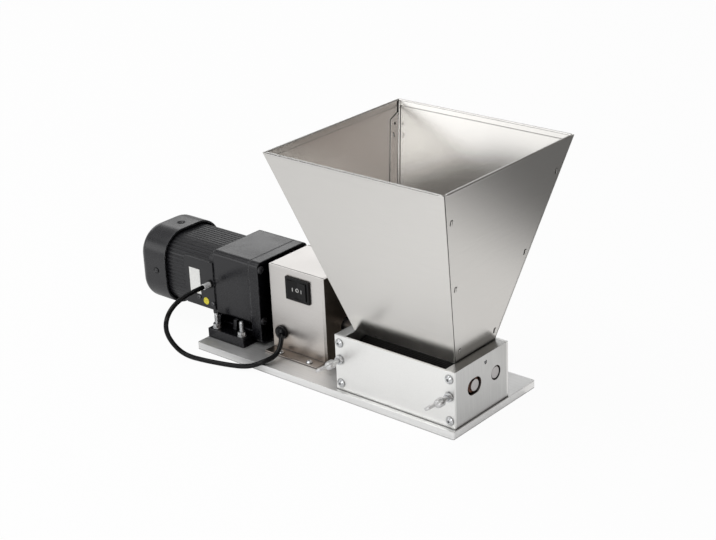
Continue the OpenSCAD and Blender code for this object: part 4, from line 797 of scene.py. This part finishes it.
# %% Wing screws
shank, roller_z = 0.0198, 0.042
mill_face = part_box("mill_front_plate")[0].y
for name, node, body, tilt in (("wing_screw_left_cast", "wing_screw_left", "wing_left", 28),
                               ("wing_screw_right_cast", "wing_screw_right", "wing_right", 31)):
    low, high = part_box(node)
    bm = bmesh.new()
    turned(bm, [(0, -shank), (0.0021, -shank), (0.0025, -shank + 0.0005), (0.0025, stand), (0.0040, stand),
                (0.0045, stand + 0.0005), (0.0045, stand + 0.0061), (0.0040, stand + 0.0081),
                (0.0030, stand + 0.0089), (0, stand + 0.0091)])
    wing(bm, -1)
    wing(bm, 1)
    place = Matrix.Translation(((low.x + high.x) / 2, mill_face, roller_z))
    place = place @ Matrix.Rotation(math.radians(90), 4, "X") @ Matrix.Rotation(math.radians(tilt), 4, "Z")
    bmesh.ops.transform(bm, matrix=place, verts=bm.verts)
    bmesh.ops.recalc_face_normals(bm, faces=bm.faces)
    obj = new_piece(name, bm, "cast_zinc", body, "zinc_steel", node)
    smooth_by_angle(obj, 40)
    print(name, len(obj.data.polygons), "faces", [round(v * 1000, 1) for v in obj.dimensions])

# %% [markdown]
# ## Threaded studs
# Four studs hold the gearbox foot, and their bare ends show their thread. A bump would look flat at its
# outline, so the thread is a ridge that spin winds up a core: dvec lifts each step by its share of the pitch.
# Below it the stud is plain, with a short taper where the thread begins.

# %% Threaded studs
plain_end, neck_end, thread_start, thread_spare = 0.012, 0.0125, 0.0128, 0.0142
thread_deep, ridge_root, tip_drop, tip_in = 0.0005, 0.0001, 0.0003, 0.0004
thread_steps, core_steps = 20, 28


def threaded_stud(bm, x, y, bottom, top, radius, pitch):
    part = bmesh.new()
    core = radius - thread_deep
    turned(part, [(0, bottom), (radius, bottom), (radius, bottom + plain_end), (core, bottom + neck_end),
                  (core, top - tip_drop), (core - tip_in, top), (0, top)], core_steps)
    turns = int((top - bottom - thread_spare) / pitch)
    start, root = bottom + thread_start, core - ridge_root
    ridge = [part.verts.new((r, 0, start + share * pitch))
             for r, share in ((root, 0), (radius, 0.42), (radius, 0.54), (root, 0.96))]
    ridge_edges = [part.edges.new(pair) for pair in zip(ridge, ridge[1:])]
    bmesh.ops.spin(part, geom=ridge + ridge_edges, cent=(0, 0, 0), axis=(0, 0, 1),
                   dvec=(0, 0, pitch / thread_steps), angle=math.tau * turns, steps=thread_steps * turns,
                   use_merge=False)
    bmesh.ops.recalc_face_normals(part, faces=part.faces)
    bmesh.ops.translate(part, vec=(x, y, 0), verts=part.verts)
    add_part(bm, part, "stud")


low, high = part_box("foot_studs")
stud_r, stud_pitch = 0.0025, 0.001
bm = bmesh.new()
for x in (low.x + stud_r, high.x - stud_r):
    for y in (low.y + stud_r, high.y - stud_r):
        threaded_stud(bm, x, y, low.z, high.z, stud_r, stud_pitch)
studs = new_piece("foot_studs_threaded", bm, "zinc_steel", "frame", "zinc_steel", "foot_studs")
smooth_by_angle(studs, 40)
print("studs", len(studs.data.polygons), "faces")

# %% [markdown]
# ## Marks on the rocker
# The three-position switch carries plain white marks: a line at each end and a ring at the middle for off.
# They are thin raised pieces that follow the rocker's shallow V, so they tilt with it.

# %% Rocker marks
rocker_low, rocker_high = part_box("switch_rocker")
rocker_x = (rocker_low.x + rocker_high.x) / 2
rocker_z = (rocker_low.z + rocker_high.z) / 2
lean, half, behind, proud = math.tan(math.radians(8)), 0.013, 0.006, 0.0034
mark_wide, mark_thick, mark_tall, mark_out = 0.0010, 0.0003, 0.0040, 0.0060
ring_r, ring_hole_r, ring_steps = 0.0022, 0.0013, 40


def rocker_face(x):
    return rocker_high.y - behind - proud + (half - abs(x)) * lean


bm = bmesh.new()
for x in (-mark_out, mark_out):
    made = bmesh.ops.create_cube(bm, size=1.0)["verts"]
    bmesh.ops.scale(bm, vec=(mark_wide, mark_thick, mark_tall), verts=made)
    bmesh.ops.translate(bm, vec=(x, 0, 0), verts=made)
ring = bmesh.ops.create_circle(bm, segments=ring_steps, radius=ring_r)["verts"]
inner = bmesh.ops.create_circle(bm, segments=ring_steps, radius=ring_hole_r)["verts"]
for loop in (ring, inner):
    bmesh.ops.rotate(bm, cent=(0, 0, 0), matrix=Matrix.Rotation(math.radians(90), 3, "X"), verts=loop)
    bmesh.ops.translate(bm, vec=(0, -mark_thick / 2, 0), verts=loop)
between = [e for e in bm.edges if not e.link_faces]
bmesh.ops.bridge_loops(bm, edges=between)
band = [f for f in bm.faces if all(v in ring or v in inner for v in f.verts)]
raised = bmesh.ops.extrude_face_region(bm, geom=band)
raised_verts = [v for v in raised["geom"] if isinstance(v, bmesh.types.BMVert)]
bmesh.ops.translate(bm, vec=(0, mark_thick, 0), verts=raised_verts)
for v in bm.verts:
    v.co.y += rocker_face(v.co.x)
bmesh.ops.translate(bm, vec=(rocker_x, 0, rocker_z), verts=bm.verts)
bmesh.ops.recalc_face_normals(bm, faces=bm.faces)
marks = new_piece("rocker_marks", bm, "mark_white", "rocker", "white_plastic")
print("rocker marks", len(marks.data.polygons), "faces")
